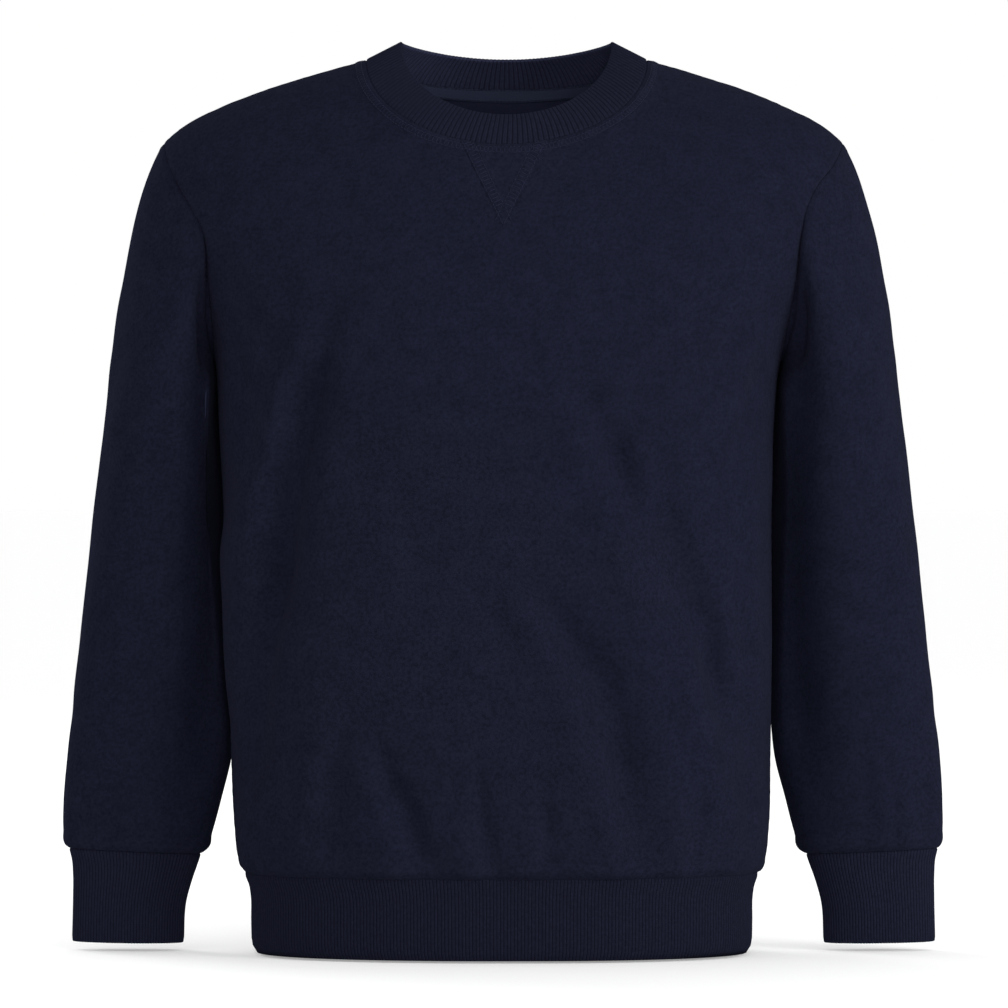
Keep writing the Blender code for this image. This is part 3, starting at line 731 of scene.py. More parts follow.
def fleeceFace():  # the smooth knit face of brushed-back sweatshirt cloth
    finish = Finish("fleeceFace", 0.92, fleece["sheen"], fleece["sheenTint"])
    across, along = finish.clothMap()
    knit = knitHeight(across / fleece["wale"], along / fleece["course"])
    cloudy = ((finish.noise(55.0, 6.0, 0.75) - 0.5) * 1.7 + 0.5).between(0, 1)
    fibre = finish.noise(1400.0, 2.0, 0.7)
    uneven = (finish.noise(400.0, 4.0, 0.78) - 0.5) * 5.0
    # The colour runs from a deeper to a paler mix by random grain (fibre, uneven, cloudy) and by the knit's
    # height, which paints the tops of the knit loops paler and the gaps between them darker: real grain with
    # painted highlight and painted shade on the loops.
    deepToneAndKnitShade = finish.mix(cloudy, shade(fleece["colour"], 0.62), shade(fleece["colour"], 0.98))
    paleToneAndKnitHighlight = finish.mix(cloudy, shade(fleece["colour"], 1.02), shade(fleece["colour"], 1.50))
    finish.colour(finish.mix((knit * 0.40 + fibre * 0.75 + uneven).between(0, 1), deepToneAndKnitShade, paleToneAndKnitHighlight))
    finish.roughness(finish.noise(60.0) * 0.10 + 0.86)
    finish.bump(knit * 0.8 + fibre * 0.9, fleece["loopDepth"])
    return finish.material


def fleeceBackPaleNapAndPaintedLight():  # the brushed side that lies against the wearer: a short matted nap
    finish = Finish("fleeceBackPaleNapAndPaintedLight", 0.97, 0.03, fleece["sheenTint"])
    nap = finish.noise(520.0, 4.0, 0.7)
    tuft = finish.noise(150.0, 3.0, 0.6)
    mixed = (nap * 0.6 + tuft * 0.5).between(0, 1)
    # Lifted to 1.9 to 3.1 times the face colour: partly the paler brushed nap, partly painted light that
    # makes up for the shade inside the garment.
    finish.colour(finish.mix(mixed, shade(fleece["colour"], 1.90), shade(fleece["colour"], 3.10)))
    finish.bump(nap * 0.6 + tuft, 0.0006)
    return finish.material


ribKnit = {"colour": (0.0072, 0.0080, 0.0160), "course": 0.00135, "loopDepth": 0.00016}


def ribFace(name, paintedLightness):  # one-by-one rib: x of the map counts the ribs, y is metres along them
    # The whole colour is scaled per copy: a factor above 1 is painted light on the one rib cloth.
    colour = tuple(part * paintedLightness for part in ribKnit["colour"])
    finish = Finish(name, 0.90, 0.015, fleece["sheenTint"])
    across, along = finish.clothMap()
    knit = knitHeight(across, along / ribKnit["course"])
    # Darker in the grooves between the ribs, down to about a third of the colour: painted shade in the
    # grooves.
    paintedGrooveShade = ((across.fraction() - 0.5).size() * 2) ** 4.0
    fibre = ((finish.noise(420.0, 4.0, 0.8) - 0.5) * 4.5 + 0.5).between(0, 1)
    # Random grain in the fibre, then the knit's height paints the tops of the loops paler and the low parts
    # darker: real grain with painted highlight and painted shade on the loops.
    raised = finish.mix(fibre, shade(colour, 0.84), shade(colour, 1.50))
    ribs = finish.mix((knit * 0.8).between(0, 1), shade(colour, 0.82), raised)
    finish.colour(finish.mix(paintedGrooveShade * 0.9, ribs, shade(colour, 0.34)))
    finish.roughness(finish.noise(90.0) * 0.12 + 0.84)
    finish.bump(knit + fibre * 0.6, ribKnit["loopDepth"])
    return finish.material


# The tape's colour is set far above the fleece's: its own navy, lifted with painted light that makes up for
# the shade inside the back neck.
tapeWeave = {"colour": (0.0300, 0.0360, 0.0660), "twill": 0.0010, "chevron": 0.0052}


def tapeFace():  # cotton tape in herringbone twill
    finish = Finish("tapeFace", 0.82, 0.02, fleece["sheenTint"])
    across, along = finish.clothMap()
    zigzag = ((across / tapeWeave["chevron"]).fraction() - 0.5).size() * tapeWeave["chevron"]
    twill = (((zigzag + along) / tapeWeave["twill"]).fraction() - 0.5).size() * 2
    yarn = finish.noise(1100.0, 2.0, 0.6)
    # Paler on the twill's raised lines and darker in its grooves, as its bump is: painted highlight and
    # painted shade on the weave.
    finish.colour(finish.mix(twill, shade(tapeWeave["colour"], 1.35), shade(tapeWeave["colour"], 0.65)))
    finish.roughness(yarn * 0.12 + 0.76)
    finish.bump((1 - twill) + yarn * 0.3, 0.00014)
    return finish.material


threadLook = {"colour": (0.0108, 0.0123, 0.0262), "twist": 0.0007}


def threadFace():  # sewing thread: x of the map is metres along it, y is a share of the way round
    finish = Finish("threadFace", 0.60, 0.02, fleece["sheenTint"], 0.03)
    along, turn = finish.clothMap()
    ply = ((along / threadLook["twist"] + turn) * (2 * math.pi)).sine() * 0.5 + 0.5
    # Paler on the crests of the twist and darker between them, as its bump is: painted highlight and painted
    # shade on the ply.
    finish.colour(finish.mix(ply, shade(threadLook["colour"], 0.75), shade(threadLook["colour"], 1.25)))
    finish.roughness(ply * 0.15 + 0.50)
    finish.bump(ply, 0.00008)
    return finish.material


fleeceFinishes = [fleeceFace(), fleeceBackPaleNapAndPaintedLight()]
ribFinishes = [ribFace("ribFace", 1.0)]
# The cuffs and the neck rib are paler copies of the same rib cloth: painted light.
cuffFinishes = [ribFace("cuffFacePaintedLight", 1.14)]
neckRibFinishes = [ribFace("neckFacePaintedLight", 1.10), ribFace("ribInsidePaintedLight", 2.7)]  # the inside of the neck is painted 2.7 times paler: painted light that makes up for the shade in there
tapeFinish = tapeFace()
threadFinish = threadFace()
print("finishes ready")

# The fleece pieces

armShares = spaced(0.215, 0.0036, 0.0009, 0.022, "end")
front, armpitRow, shoulderCells = panelGrid(-1, armShares)
back = panelGrid(1, armShares)[0]
ringShares = np.concatenate((armShares / 2, 1 - armShares[1:-1][::-1] / 2))
rightEdge = np.concatenate((front[armpitRow:, -1], back[armpitRow + 1 : -1, -1][::-1]))
leftEdge = mirrored(np.concatenate((front[armpitRow:, 0], back[armpitRow + 1 : -1, 0][::-1])))
rightSleeve = sleeveGrid(rightEdge, ringShares, "right")
leftSleeve = mirrored(sleeveGrid(leftEdge, ringShares, "left"))
pieces = {
    "frontPanel": {"points": front, "round": False, "outward": 1, "creases": "front"},
    "backPanel": {"points": back, "round": False, "outward": -1, "creases": "back"},
    "sleeveRight": {"points": rightSleeve, "round": True, "outward": -1, "creases": "sleeveRight"},
    "sleeveLeft": {"points": leftSleeve, "round": True, "outward": 1, "creases": "sleeveLeft"},
}
for piece in pieces.values():
    piece["normals"] = gridNormals(piece["points"], piece["round"], piece["outward"])
shareNormals(list(pieces.values()))

coverStitch = {"near": 0.0028, "far": 0.0082, "sink": 0.00032, "sinkWidth": 0.0010}


def seamLift(away):  # the cloth turns in at a seam, and swells a little beside it
    near = np.clip(away / seam["turn"], 0, 1)
    turned = seam["groove"] * (1 - np.sqrt(np.clip(1 - (1 - near) ** 2, 0, 1)))
    return seam["swell"] * bell((away - 0.0048) / 0.0026) - turned


def puckerLift(points, away):
    x, y, z = np.moveaxis(points, -1, 0)
    ripple = np.sin(720 * x + 610 * z + 3 * np.sin(90 * x)) + 0.7 * np.sin(510 * x - 880 * z + 420 * y)
    return seam["pucker"] * ripple * bell((away - 0.006) / 0.006)


def panelLift(piece):
    points = piece["points"]
    armEdge = [points[armpitRow:, 0], points[armpitRow:, -1]]
    sides = [points[: armpitRow + 1, 0], points[: armpitRow + 1, -1]]
    tops = [points[-1, : shoulderCells + 1], points[-1, -shoulderCells - 1 :]]
    neckAway = distanceTo(points, points[-1, shoulderCells:-shoulderCells])
    away = neckAway
    for edge in armEdge + sides + tops + [points[0]]:
        away = np.minimum(away, distanceTo(points, edge))
    edgeLift = seamLift(away)
    lift = edgeLift + puckerLift(points, away)
    for place in (coverStitch["near"], coverStitch["far"]):
        lift = lift - coverStitch["sink"] * bell((neckAway - place) / coverStitch["sinkWidth"])
    lift = lift + 0.00045 * ease((0.0100 - neckAway) / 0.002) * ease(neckAway / 0.003)
    inside = ease(away / 0.010)
    soft = creaseLift(piece["creases"], points[..., 0], points[..., 2]) + slackLift(points)
    return lift + inside * soft, edgeLift


def sleeveLift(piece):
    form = sleeveForm
    points = piece["points"]
    away = np.minimum(distanceTo(points, points[0]), distanceTo(points, points[-1]))
    closed = np.concatenate((points, points[:, :1]), axis=1)
    around = lengthAlong(np.swapaxes(closed, 0, 1)).T[:, :-1]
    outerColumn = np.interp(0.5, ringShares, np.arange(len(ringShares)))
    low = around[:, int(outerColumn)][:, None]
    out = low - around  # from the outer side, + towards the front
    inside = ease(away / 0.008)
    edgeLift = seamLift(away)
    soft = creaseLift(piece["creases"], out, points[..., 2]) + slackLift(points)
    height = points[..., 2]
    ends = ease((-0.105 - height) / 0.07) * ease((height + 0.600) / 0.10)
    middle = form["tuckPlace"] + form["tuckShift"] * bell((height + 0.245) / 0.05)
    soft = soft - form["tuck"] * bell((ringShares - middle) / form["tuckWidth"]) * ends
    atArmhole = bell((away - form["dipAway"]) / 0.010)
    atArmhole = atArmhole * bell((ringShares - form["dipPlace"]) / form["dipWidth"])
    soft = soft - form["dip"] * atArmhole * ease((height + 0.45) / 0.10)
    return edgeLift + puckerLift(points, away) + inside * soft, edgeLift


fleeceThickness = 0.0020
for name, piece in pieces.items():
    lift, edgeLift = panelLift(piece) if "Panel" in name else sleeveLift(piece)
    outer = piece["points"] + piece["normals"] * lift[..., None]
    inner = outer - piece["normals"] * (fleeceThickness + np.minimum(edgeLift, 0))[..., None]
    spots = gridSpots(piece["points"], piece["round"])
    flip = piece["outward"] < 0
    piece["outer"] = outer
    piece["object"] = layWall(name, outer, inner, piece["round"], flip, spots, fleeceFinishes)

# The ribbed pieces: a folded double layer, closed by a rounded fold at its free edge

ribForm = {"thickness": 0.0030, "depth": 0.00050, "roundCells": 5, "seamTurn": 0.0022}


def ribPattern(shares, ribs):  # 1 on top of a rib and 0 in the groove between two
    phase = shares * ribs
    uneven = 1 + 0.10 * np.sin(0.83 * phase + 1.1) * np.sin(0.19 * phase)
    return np.abs(np.sin(math.pi * phase)) ** 0.65 * uneven


def ribRows(length, cell):  # shares from the seam to the free edge, fine at the seam and on the fold
    half = ribForm["thickness"] / 2
    flat = spaced(length - half, cell, 0.0006, 0.010, "start") * (length - half)
    turn = np.linspace(0, math.pi / 2, ribForm["roundCells"] + 1)[1:]
    return np.concatenate((flat, length - half + half * np.sin(turn))) / length


def layRibs(name, grid, shares, ribs, outward, length, rowShares, seamNormals, grooveDepth, finishes):
    # grid: rings from the seam to the free edge, with ribs running from one to the other
    normals = gridNormals(grid, True, outward)
    blend = bell(rowShares * length / 0.004)[:, None, None]
    if seamNormals is not None:
        normals = unit(normals * (1 - 0.5 * blend) + seamNormals * 0.5 * blend)
    half = ribForm["thickness"] / 2
    fromEdge = (1 - rowShares) * length
    roundness = np.sqrt(np.clip(1 - (1 - np.clip(fromEdge / half, 0, 1)) ** 2, 0.0004, 1))[:, None]
    fromSeam = rowShares * length
    turnShare = 1 - np.clip(fromSeam / ribForm["seamTurn"], 0, 1)
    turned = grooveDepth * (1 - np.sqrt(np.clip(1 - turnShare**2, 0, 1)))[:, None]
    pattern = ribPattern(evenIndex(len(shares)), ribs)[None, :] * ribForm["depth"]
    outside = (half + pattern - ribForm["depth"] * 0.6) * roundness - half - turned
    inside = -(half + pattern - ribForm["depth"] * 0.6) * roundness - half
    outer = grid + normals * outside[..., None]
    inner = grid + normals * inside[..., None]
    count = np.linspace(0, ribs, len(shares) + 1)
    spots = np.stack(np.broadcast_arrays(count[None, :], fromSeam[:, None]), axis=-1)
    return layWall(name, outer, inner, True, outward < 0, spots, finishes)


def evenIndex(count):
    return np.arange(count) / count


def seamNormalsOf(edgePoints, edgeNormals, wanted):  # the fleece's direction out at the rib's seam points
    tree = KDTree(len(edgePoints))
    for index, point in enumerate(edgePoints):
        tree.insert(point, index)
    tree.balance()
    found = []
    for point in wanted:
        near = tree.find_n(point, 2)
        weights = [1 / (distance + 1e-6) for _, _, distance in near]
        found.append(sum(w * edgeNormals[index] for w, (_, index, _) in zip(weights, near)) / sum(weights))
    return unit(np.array(found))


def panelLoop(row, columns):  # points and directions round a seam that both panels share
    front, back = pieces["frontPanel"], pieces["backPanel"]
    points = np.concatenate((front["points"][row, columns], back["points"][row, columns][::-1]))
    normals = np.concatenate((front["normals"][row, columns], back["normals"][row, columns][::-1]))
    return points, normals


hemBand = {
    "ribs": 368,
    "cellsPerRib": 5,
    "bottom": -0.6947,
    "rowCell": 0.0052,
    "sections": table(
        "height left right front back",
        (-0.6947, 0.1928, 0.1905, 0.1045, 0.0940),
        (-0.6700, 0.1934, 0.1910, 0.1060, 0.0955),
        (-0.6500, 0.1938, 0.1913, 0.1064, 0.0958),
        (-0.6410, 0.1955, 0.1928, 0.1070, 0.0963),
        (-0.6335, 0.1990, 0.1958, 0.1085, 0.0975),
    ),
    "bottomTurn": 0.0022,
}


def layHemBand():
    form = hemBand
    shares = evenShares(hemRing, form["ribs"] * form["cellsPerRib"])
    edge = hemRing(shares)
    length = seam["hem"] - form["bottom"]
    rowShares = ribRows(length, form["rowCell"])
    sections = form["sections"]
    rings = []
    for share in rowShares:
        height = seam["hem"] - length * share
        behind = edge[:, 1] > 0
        depth = np.where(behind, readCurve(sections, "back", height), readCurve(sections, "front", height))
        seamDepth = np.where(
            behind, readCurve(sections, "back", seam["hem"]), readCurve(sections, "front", seam["hem"])
        )
        reach = sideReach(sections, edge[:, 0], height) / sideReach(sections, edge[:, 0], seam["hem"])
        drawn = 1 - form["bottomTurn"] * ease((share - 0.86) / 0.14) / 0.11
        place = edge[:, 1] * depth / seamDepth
        level = np.full(len(edge), height)
        rings.append(np.stack((edge[:, 0] * reach * drawn, place * drawn, level), axis=-1))
    grid = np.array(rings)
    x, y = grid[..., 0], grid[..., 1]
    wave = 0.0008 * np.sin(19 * x + 4 + 7 * y) * np.sin(31 * x - 23 * y) * ease(rowShares / 0.3)[:, None]
    grid[..., :2] *= 1 + (wave / 0.15)[..., None]
    normals = seamNormalsOf(*panelLoop(0, slice(None)), edge)
    return layRibs("hemBand", grid, shares, form["ribs"], 1, length, rowShares, normals, 0.0010, ribFinishes)


cuffForm = {
    "ribs": 88,
    "cellsPerRib": 6,
    "bottom": -0.6907,
    "rowCell": 0.0036,
    "sections": table(
        "height outer inner front back",
        (-0.6907, 0.3382, 0.2507, 0.0130, 0.0480),
        (-0.6540, 0.3374, 0.2482, 0.0125, 0.0490),
        (-0.6400, 0.3374, 0.2444, 0.0122, 0.0502),
        (-0.6280, 0.3386, 0.2406, 0.0118, 0.0522),
        (-0.6188, 0.3412, 0.2378, 0.0110, 0.0545),
    ),
}


def cuffMiddle(shares):
    return ringSection(cuffForm["sections"], -0.655, shares)


def layCuff(name, mirror, sleeve):
    form = cuffForm
    shares = evenShares(cuffMiddle, form["ribs"] * form["cellsPerRib"])
    length = seam["cuff"] - form["bottom"]
    rowShares = ribRows(length, form["rowCell"])
    heights = seam["cuff"] - length * rowShares
    grid = np.array([ringSection(form["sections"], height, shares) for height in heights])
    middle = grid.mean(axis=1, keepdims=True)
    swing = np.arctan2(grid[..., 1] - middle[..., 1], grid[..., 0] - middle[..., 0])
    wave = 0.0006 * np.sin(3 * swing + (0.7 if mirror else 2.1)) * ease(rowShares / 0.3)[:, None]
    drawn = 0.05 * (1 - np.sqrt(1 - np.clip((rowShares - 0.95) / 0.05, 0, 1) ** 2))[:, None]
    grid[..., :2] = middle[..., :2] + (grid - middle)[..., :2] * (1 + wave / 0.03 - drawn)[..., None]
    if mirror:
        grid = mirrored(grid)
    normals = seamNormalsOf(sleeve["points"][-1], sleeve["normals"][-1], grid[0])
    outward = 1 if mirror else -1
    ribs = form["ribs"]
    return layRibs(name, grid, shares, ribs, outward, length, rowShares, normals, 0.0010, cuffFinishes)


neckRib = {
    "ribs": 162,
    "cellsPerRib": 8,
    "rowCell": 0.0018,
    "edgeHalfWidth": 0.0818,
    "edgeHeight": 0.0148,
    "edgeFront": (-0.0660, -0.0463),
    "edgeBack": (0.0620, 0.0056),
    "bulge": 0.0021,
}


def neckEdge(shares):
    form = neckRib
    turn = math.pi * (1 + 2 * shares)
    forward = np.sin(turn) < 0
    place = np.where(forward, form["edgeFront"][0], form["edgeBack"][0])
    height = np.where(forward, form["edgeFront"][1], form["edgeBack"][1])
    around = np.abs(np.sin(turn))
    return np.stack(
        (
            form["edgeHalfWidth"] * np.cos(turn),
            neckCut["place"] + (place - neckCut["place"]) * around,
            form["edgeHeight"] + (height - form["edgeHeight"]) * around ** np.where(forward, 1, 2),
        ),
        axis=-1,
    )


def neckMiddle(shares):
    return (neckSeam(shares) + neckEdge(shares)) / 2


def layNeckRib():
    form = neckRib
    shares = evenShares(neckMiddle, form["ribs"] * form["cellsPerRib"])
    start = neckSeam(shares)
    end = neckEdge(shares)
    length = float(np.linalg.norm(end - start, axis=1).mean())
    rowShares = ribRows(length, form["rowCell"])
    grid = np.array([start + (end - start) * share for share in rowShares])
    rounded = form["bulge"] * np.abs(np.sin(2 * math.pi * shares))  # flat at the sides of the neck
    grid[..., 2] += rounded * np.sin(math.pi * rowShares)[:, None]
    normals = seamNormalsOf(*panelLoop(-1, slice(shoulderCells, -shoulderCells)), start)
    ribs = form["ribs"]
    return layRibs("neckRib", grid, shares, ribs, 1, length, rowShares, normals, 0.0012, neckRibFinishes)


hemBandPiece = layHemBand()
cuffRightPiece = layCuff("cuffRight", False, pieces["sleeveRight"])
cuffLeftPiece = layCuff("cuffLeft", True, pieces["sleeveLeft"])
neckRibPiece = layNeckRib()

# The V insert and the neck tape, each laid on its panel


def surfaceOf(*grids):  # something to lay things on: the outer skins of the given grids
    points = []
    faces = []
    for grid in grids:
        rows, columns = grid.shape[:2]
        index = np.arange(rows * columns).reshape(rows, columns) + len(points)
        points += [Vector(point) for point in grid.reshape(-1, 3)]
        cells = np.stack((index[:-1, :-1], index[:-1, 1:], index[1:, 1:], index[1:, :-1]), axis=-1)
        faces += cells.reshape(-1, 4).tolist()
    return BVHTree.FromPolygons(points, faces)


def laidOn(surface, points, normals):  # the nearest places on a surface, with the direction out there
    places = []
    ups = []
    for point, up in zip(points.reshape(-1, 3), normals.reshape(-1, 3)):
        place, normal, _, _ = surface.find_nearest(Vector(point))
        places.append(tuple(place))
        ups.append(tuple(normal if normal.dot(Vector(up)) > 0 else -normal))
    return np.array(places).reshape(points.shape), np.array(ups).reshape(points.shape)


def evened(directions, reach):  # directions along a line, each averaged with its neighbours
    ends = np.concatenate((directions[:1].repeat(reach, 0), directions, directions[-1:].repeat(reach, 0)))
    total = sum(ends[k : k + len(directions)] for k in range(2 * reach + 1))
    return unit(total)


insertForm = {
    "halfWidth": 0.0335,
    "depth": 0.0660,
    "raise": 0.0006,
    "edge": 0.0045,
    "rows": 64,
    "columns": 64,
}


def frontNeckHeight(across):
    turn = np.arccos(np.clip(across / neckCut["halfWidth"], -1, 1))
    return neckCut["height"] - neckCut["dropFront"] * np.sin(turn)


def layInsert(surface):
    form = insertForm
    apex = neckCut["height"] - neckCut["dropFront"] - form["depth"]
    down = np.linspace(0, 1, form["rows"])[:, None]
    side = np.linspace(-1, 1, form["columns"])[None, :]
    across = side * (form["halfWidth"] * (1 - down) + 0.0004 * down)
    top = frontNeckHeight(side * form["halfWidth"])
    height = top * (1 - down) + apex * down
    height = height - 0.0012 * (1 - down)
    flat = trunkPoint(angleOf(across, height), height, -1)
    base, ups = laidOn(surface, flat, np.broadcast_to((0.0, -1.0, 0.0), flat.shape))
    fromEdge = np.minimum(np.abs(np.abs(across) - form["halfWidth"] * (1 - down)) * 0.87, 0.05)
    raised = form["raise"] * np.sqrt(np.clip(1 - (1 - np.clip(fromEdge / form["edge"], 0, 1)) ** 2, 0.01, 1))
    raised = raised * ease(down / 0.10) - 0.0002 * bell((fromEdge - 0.0088) / 0.0012)
    outer = base + ups * raised[..., None]
    inner = base - ups * 0.0001
    spots = gridSpots(base, False)
    return layWall("neckInsert", outer, inner, False, True, spots, fleeceFinishes[:1]), outer


tapeForm = {"height": 0.0125, "thickness": 0.0009, "rows": 14, "columns": 260}


def layTape(surface):  # along the inside of the back, over the seam of the neck rib
    form = tapeForm
    shares = np.linspace(0.5, 1, form["columns"])
    edge = neckSeam(shares)
    tangent = unit(np.gradient(edge, axis=0))
    inside = edge + np.array((0.0, 0.004, -0.006))
    _, ups = laidOn(surface, inside, np.broadcast_to((0.0, 0.6, 0.8), edge.shape))
    ups = evened(ups, 12)
    away = unit(np.cross(tangent, ups))
    away *= np.sign(np.sum(away * (edge - np.array((0.0, 0.0, 0.06))), axis=1))[:, None]
    down = np.linspace(-0.10, 1, form["rows"])[:, None, None] * form["height"]
    flat = edge[None] + away[None] * down
    base, ups = laidOn(surface, flat, np.broadcast_to(ups[None], flat.shape))
    ups = np.swapaxes(evened(np.swapaxes(ups, 0, 1), 8), 0, 1)
    under = base - ups * (fleeceThickness + 0.0003)
    fromEdge = np.minimum(form["height"] - down[..., 0], 0.01)
    full = form["thickness"] * np.sqrt(np.clip(1 - (1 - np.clip(fromEdge / 0.0009, 0, 1)) ** 2, 0.02, 1))
    inner = under - ups * full[..., None]
    return layWall("neckTape", under, inner, False, False, gridSpots(flat, False), [tapeFinish]), inner


panelSkin = surfaceOf(pieces["frontPanel"]["outer"], pieces["backPanel"]["outer"])
insertPiece, insertOuter = layInsert(panelSkin)
tapePiece, tapeInner = layTape(surfaceOf(pieces["backPanel"]["points"]))
sewnSkin = surfaceOf(pieces["frontPanel"]["outer"], pieces["backPanel"]["outer"], insertOuter)

# Stitches

stitchForm = {"pitch": 0.0030, "length": 0.0024, "radius": 0.00027, "arch": 0.00028, "sides": 6, "rings": 5}


def addStitches(name, starts, ends, ups, radius):
    form = stitchForm
    t = np.linspace(0, 1, form["rings"])
    turn = np.arange(form["sides"]) / form["sides"]
    hump = np.sin(math.pi * t)
    along = ends - starts
    side = unit(np.cross(along, ups))
    raised = (form["arch"] * hump - 0.00006)[None, :, None]
    centre = starts[:, None] + along[:, None] * t[None, :, None] + ups[:, None] * raised
    thick = radius * (0.35 + 0.65 * np.sqrt(hump))
    swing = 2 * math.pi * turn
    swing = swing[None, None, :, None]
    ring = side[:, None, None] * np.cos(swing) + ups[:, None, None] * np.sin(swing)
    points = (centre[:, :, None] + ring * thick[None, :, None, None]).reshape(-1, 3)
    rings, sides = form["rings"], form["sides"]
    index = np.arange(rings * sides).reshape(rings, sides)
    nextSide = np.roll(index, -1, axis=1)
    cell = np.stack((index[:-1], nextSide[:-1], nextSide[1:], index[1:]), axis=-1).reshape(-1, 4)
    caps = np.array([[0, 3, 2, 1], [0, 5, 4, 3]])
    last = (rings - 1) * sides
    caps = np.concatenate((caps, caps[:, ::-1] + last))
    cell = np.concatenate((cell, caps))
    faces = (cell[None] + (np.arange(len(starts)) * rings * sides)[:, None, None]).reshape(-1, 4)
    length = np.linalg.norm(along, axis=1)
    run = length[:, None, None] * t[None, :, None]
    spots = np.stack(np.broadcast_arrays(run, turn[None, None, :]), axis=-1)
    return addMesh(name, points, faces, spots.reshape(-1, 2)[faces.reshape(-1)], [threadFinish])


def coverRows(base, ups, away, near, far):
    # two needle rows with the cover thread's rungs between them: starts, ends and directions out
    first = base + away * near
    second = base + away * far
    share = stitchForm["length"] / stitchForm["pitch"]
    starts, ends, directions = [], [], []
    for row in (first, second):
        starts.append(row[:-1])
        ends.append(row[:-1] + (row[1:] - row[:-1]) * share)
        directions.append(ups[:-1])
    starts.append(first[:-1])
    ends.append(second[:-1])
    directions.append(ups[:-1])
    return np.concatenate(starts), np.concatenate(ends), np.concatenate(directions)


def sewOn(name, surface, starts, ends, ups):  # found from a little way out, so the top cloth is met first
    starts, startUps = laidOn(surface, starts + ups * 0.003, ups)
    ends, endUps = laidOn(surface, ends + ups * 0.003, ups)
    return addStitches(name, starts, ends, unit(startUps + endUps), stitchForm["radius"])


def neckCoverStitch(surface):
    length = lengthAlong(neckSeam(np.linspace(0, 1, 4001)))[-1]
    count = int(length / stitchForm["pitch"])
    shares = np.append(evenShares(neckSeam, count), 1.0)
    shares[1:-1] += 0.0005 * np.sin(np.arange(1, count) * 2.4) * np.sin(np.arange(1, count) * 0.37)
    base = neckSeam(shares)
    tangent = unit(neckSeam(np.clip(shares + 1e-4, 0, 1)) - neckSeam(np.clip(shares - 1e-4, 0, 1)))
    beyond = base + np.array((0.07, 0.0, 0.0)) * base[:, :1] + np.array((0.0, 0.0, -0.006))
    _, ups = laidOn(surface, beyond, base - np.array((0.0, 0.0, -0.12)))
    ups = evened(np.concatenate((ups[-20:], ups, ups[:20])), 8)[20:-20]
    away = unit(np.cross(tangent, ups))
    centre = np.array((0.0, 0.0, 0.05))
    away *= np.sign(np.sum(away * (base - centre), axis=1))[:, None]
    starts, ends, directions = coverRows(base, ups, away, coverStitch["near"], coverStitch["far"])
    return sewOn("neckCoverStitch", surface, starts, ends, directions)


def insertCoverStitch(surface):
    form = insertForm
    corner = frontNeckHeight(form["halfWidth"])
    apex = neckCut["height"] - neckCut["dropFront"] - form["depth"]
    starts, ends, directions = [], [], []
    for sign in (-1, 1):
        top = np.array((sign * form["halfWidth"], 0.0, corner))
        tip = np.array((0.0, 0.0, apex))
        run = tip - top
        inwards = unit(np.array((sign * run[2], 0.0, -sign * run[0])))
        count = int(np.linalg.norm(run) / stitchForm["pitch"])
        path = top + run * (np.arange(count) / count)[:, None]
        ups = np.broadcast_to((0.0, -1.0, 0.0), path.shape)
        found = coverRows(path, ups, inwards, 0.0010, 0.0086)
        starts.append(found[0])
        ends.append(found[1])
        directions.append(found[2])
    starts, ends, directions = np.concatenate(starts), np.concatenate(ends), np.concatenate(directions)
    for points in (starts, ends):
        points[:, 1] = trunkPoint(angleOf(points[:, 0], points[:, 2]), points[:, 2], -1)[:, 1]
    keep = np.sign(starts[:, 0]) * np.sign(ends[:, 0]) > 0
    return sewOn("insertCoverStitch", surface, starts[keep], ends[keep], directions[keep])


def tapeStitches(inner):
    starts, ends, directions = [], [], []
    for row in (2, -3):  # one row along each edge of the tape
        path = densePath(inner[row], stitchForm["pitch"])
        middle = (path[:-1] + path[1:]) / 2
        towards = unit(np.array((0.0, 0.0, -0.02)) - middle + np.array((0.0, -0.02, 0.0)))
        starts.append(path[:-1])
        ends.append(path[:-1] + (path[1:] - path[:-1]) * stitchForm["length"] / stitchForm["pitch"])
        directions.append(towards)
    starts, ends, directions = (np.concatenate(part) for part in (starts, ends, directions))
    return addStitches("tapeStitches", starts, ends, directions, 0.00026)


neckStitches = neckCoverStitch(sewnSkin)
insertStitches = insertCoverStitch(sewnSkin)
tapeStitchRows = tapeStitches(tapeInner)

# Which cut piece is which, with its flat size before sewing

cutSizes = {
    "front_panel": (pieces["frontPanel"]["object"], (0.56, 0.66), 0.335, "fleece", [neckStitches]),
    "back_panel": (pieces["backPanel"]["object"], (0.56, 0.66), 0.337, "fleece", []),
    "sleeve_right": (pieces["sleeveRight"]["object"], (0.46, 0.60), 0.167, "fleece", []),
    "sleeve_left": (pieces["sleeveLeft"]["object"], (0.46, 0.60), 0.167, "fleece", []),
    "hem_band": (hemBandPiece, (0.96, 0.061), None, "rib", []),
    "cuff_right": (cuffRightPiece, (0.20, 0.072), None, "rib", []),
    "cuff_left": (cuffLeftPiece, (0.20, 0.072), None, "rib", []),
    "neck_rib": (neckRibPiece, (0.60, 0.029), None, "rib", []),
    "neck_insert": (insertPiece, (0.067, 0.070), 0.0023, "fleece", [insertStitches]),
    "neck_tape": (tapePiece, (0.27, 0.0125), None, "tape", [tapeStitchRows]),
}
restsOn = {"neck_insert": ["frontPanel"], "neck_tape": ["backPanel"]}
for node, (piece, flat, area, slot, sewn) in cutSizes.items():
    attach(piece, "root")
    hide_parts(node)
    for stitches in sewn:
        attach(stitches, "root")
    held = "laid" if node in restsOn else "stretched" if slot == "rib" else "hung"

# Floor, light and camera

studio = {"floor": -0.6965, "white": 0.66, "glow": 0.31, "sky": 1.0}


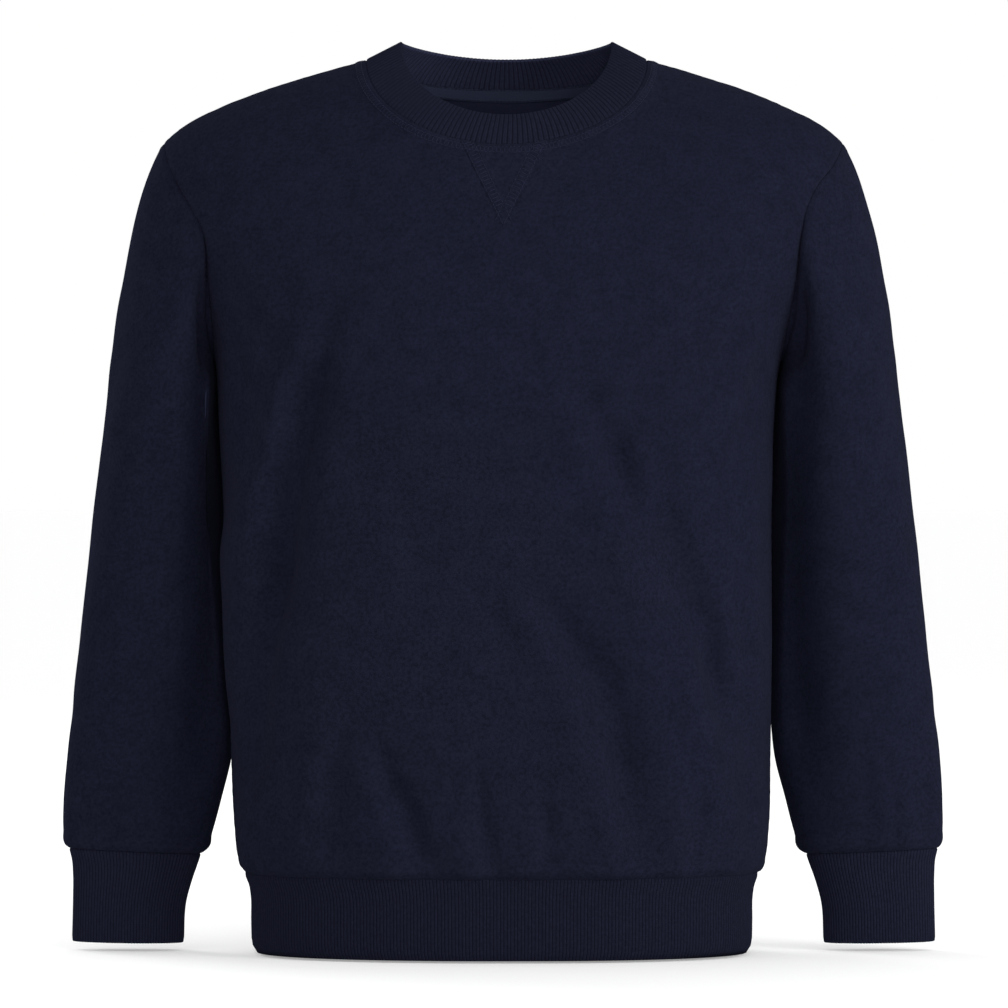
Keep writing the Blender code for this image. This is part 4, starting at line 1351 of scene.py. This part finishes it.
def makeStage():
    finish = Finish("paleFloor", 0.9, 0.0, (1.0, 1.0, 1.0, 1.0), 0.1)
    white = studio["white"]
    finish.colour(finish.mix(finish.noise(3.0), shade((1, 1, 1), white), shade((1, 1, 1), white + 0.01)))
    finish.put(finish.shader.inputs["Emission Color"], (1.0, 1.0, 1.0, 1.0))
    finish.put(finish.shader.inputs["Emission Strength"], studio["glow"])
    size = 300.0
    height = studio["floor"]
    corners = ((-size, -size), (size, -size), (size, size), (-size, size))
    points = np.array([(x, y, height) for x, y in corners])
    floor = addMesh("floor", points, np.array([[0, 1, 2, 3]]), points[:, :2], [finish.material])
    floor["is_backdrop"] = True


def makeLight(name, place, size, power, target=(0.0, 0.0, -0.33)):
    light = bpy.data.lights.new(name, "AREA")
    light.shape = "DISK"
    light.size = size
    light.energy = power
    made = bpy.data.objects.new(name, light)
    made.location = place
    made.rotation_euler = (Vector(target) - Vector(place)).to_track_quat("-Z", "Y").to_euler()
    bpy.context.scene.collection.objects.link(made)


def makeCamera():
    view = bpy.data.cameras.new("camera")
    view.sensor_width = 36.0
    view.lens = 206.04
    camera = bpy.data.objects.new("camera", view)
    camera.location = (0.0004, -4.5, -0.3463)
    camera.rotation_euler = (math.pi / 2, 0.0, 0.0)
    bpy.context.scene.collection.objects.link(camera)
    bpy.context.scene.camera = camera


makeStage()
makeLight("softBoxRight", (3.3, -2.3, 0.3), 2.0, 125)
makeLight("softBoxBehind", (-3.0, 3.2, 1.0), 2.0, 90)
makeLight("softBoxFront", (0.1, -4.4, -0.1), 1.0, 50)
world = bpy.data.worlds.new("paleStudio")
world.use_nodes = True
world.node_tree.nodes["Background"].inputs["Color"].default_value = (1.0, 1.0, 1.0, 1.0)
world.node_tree.nodes["Background"].inputs["Strength"].default_value = studio["sky"]
bpy.context.scene.world = world
bpy.context.scene.view_settings.view_transform = "Standard"
makeCamera()
print("stage, lights and camera ready")

boxes = {"cad": cadBox, "visual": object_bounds()}
boxes = {name: [list(map(float, corner)) for corner in box] for name, box in boxes.items()}
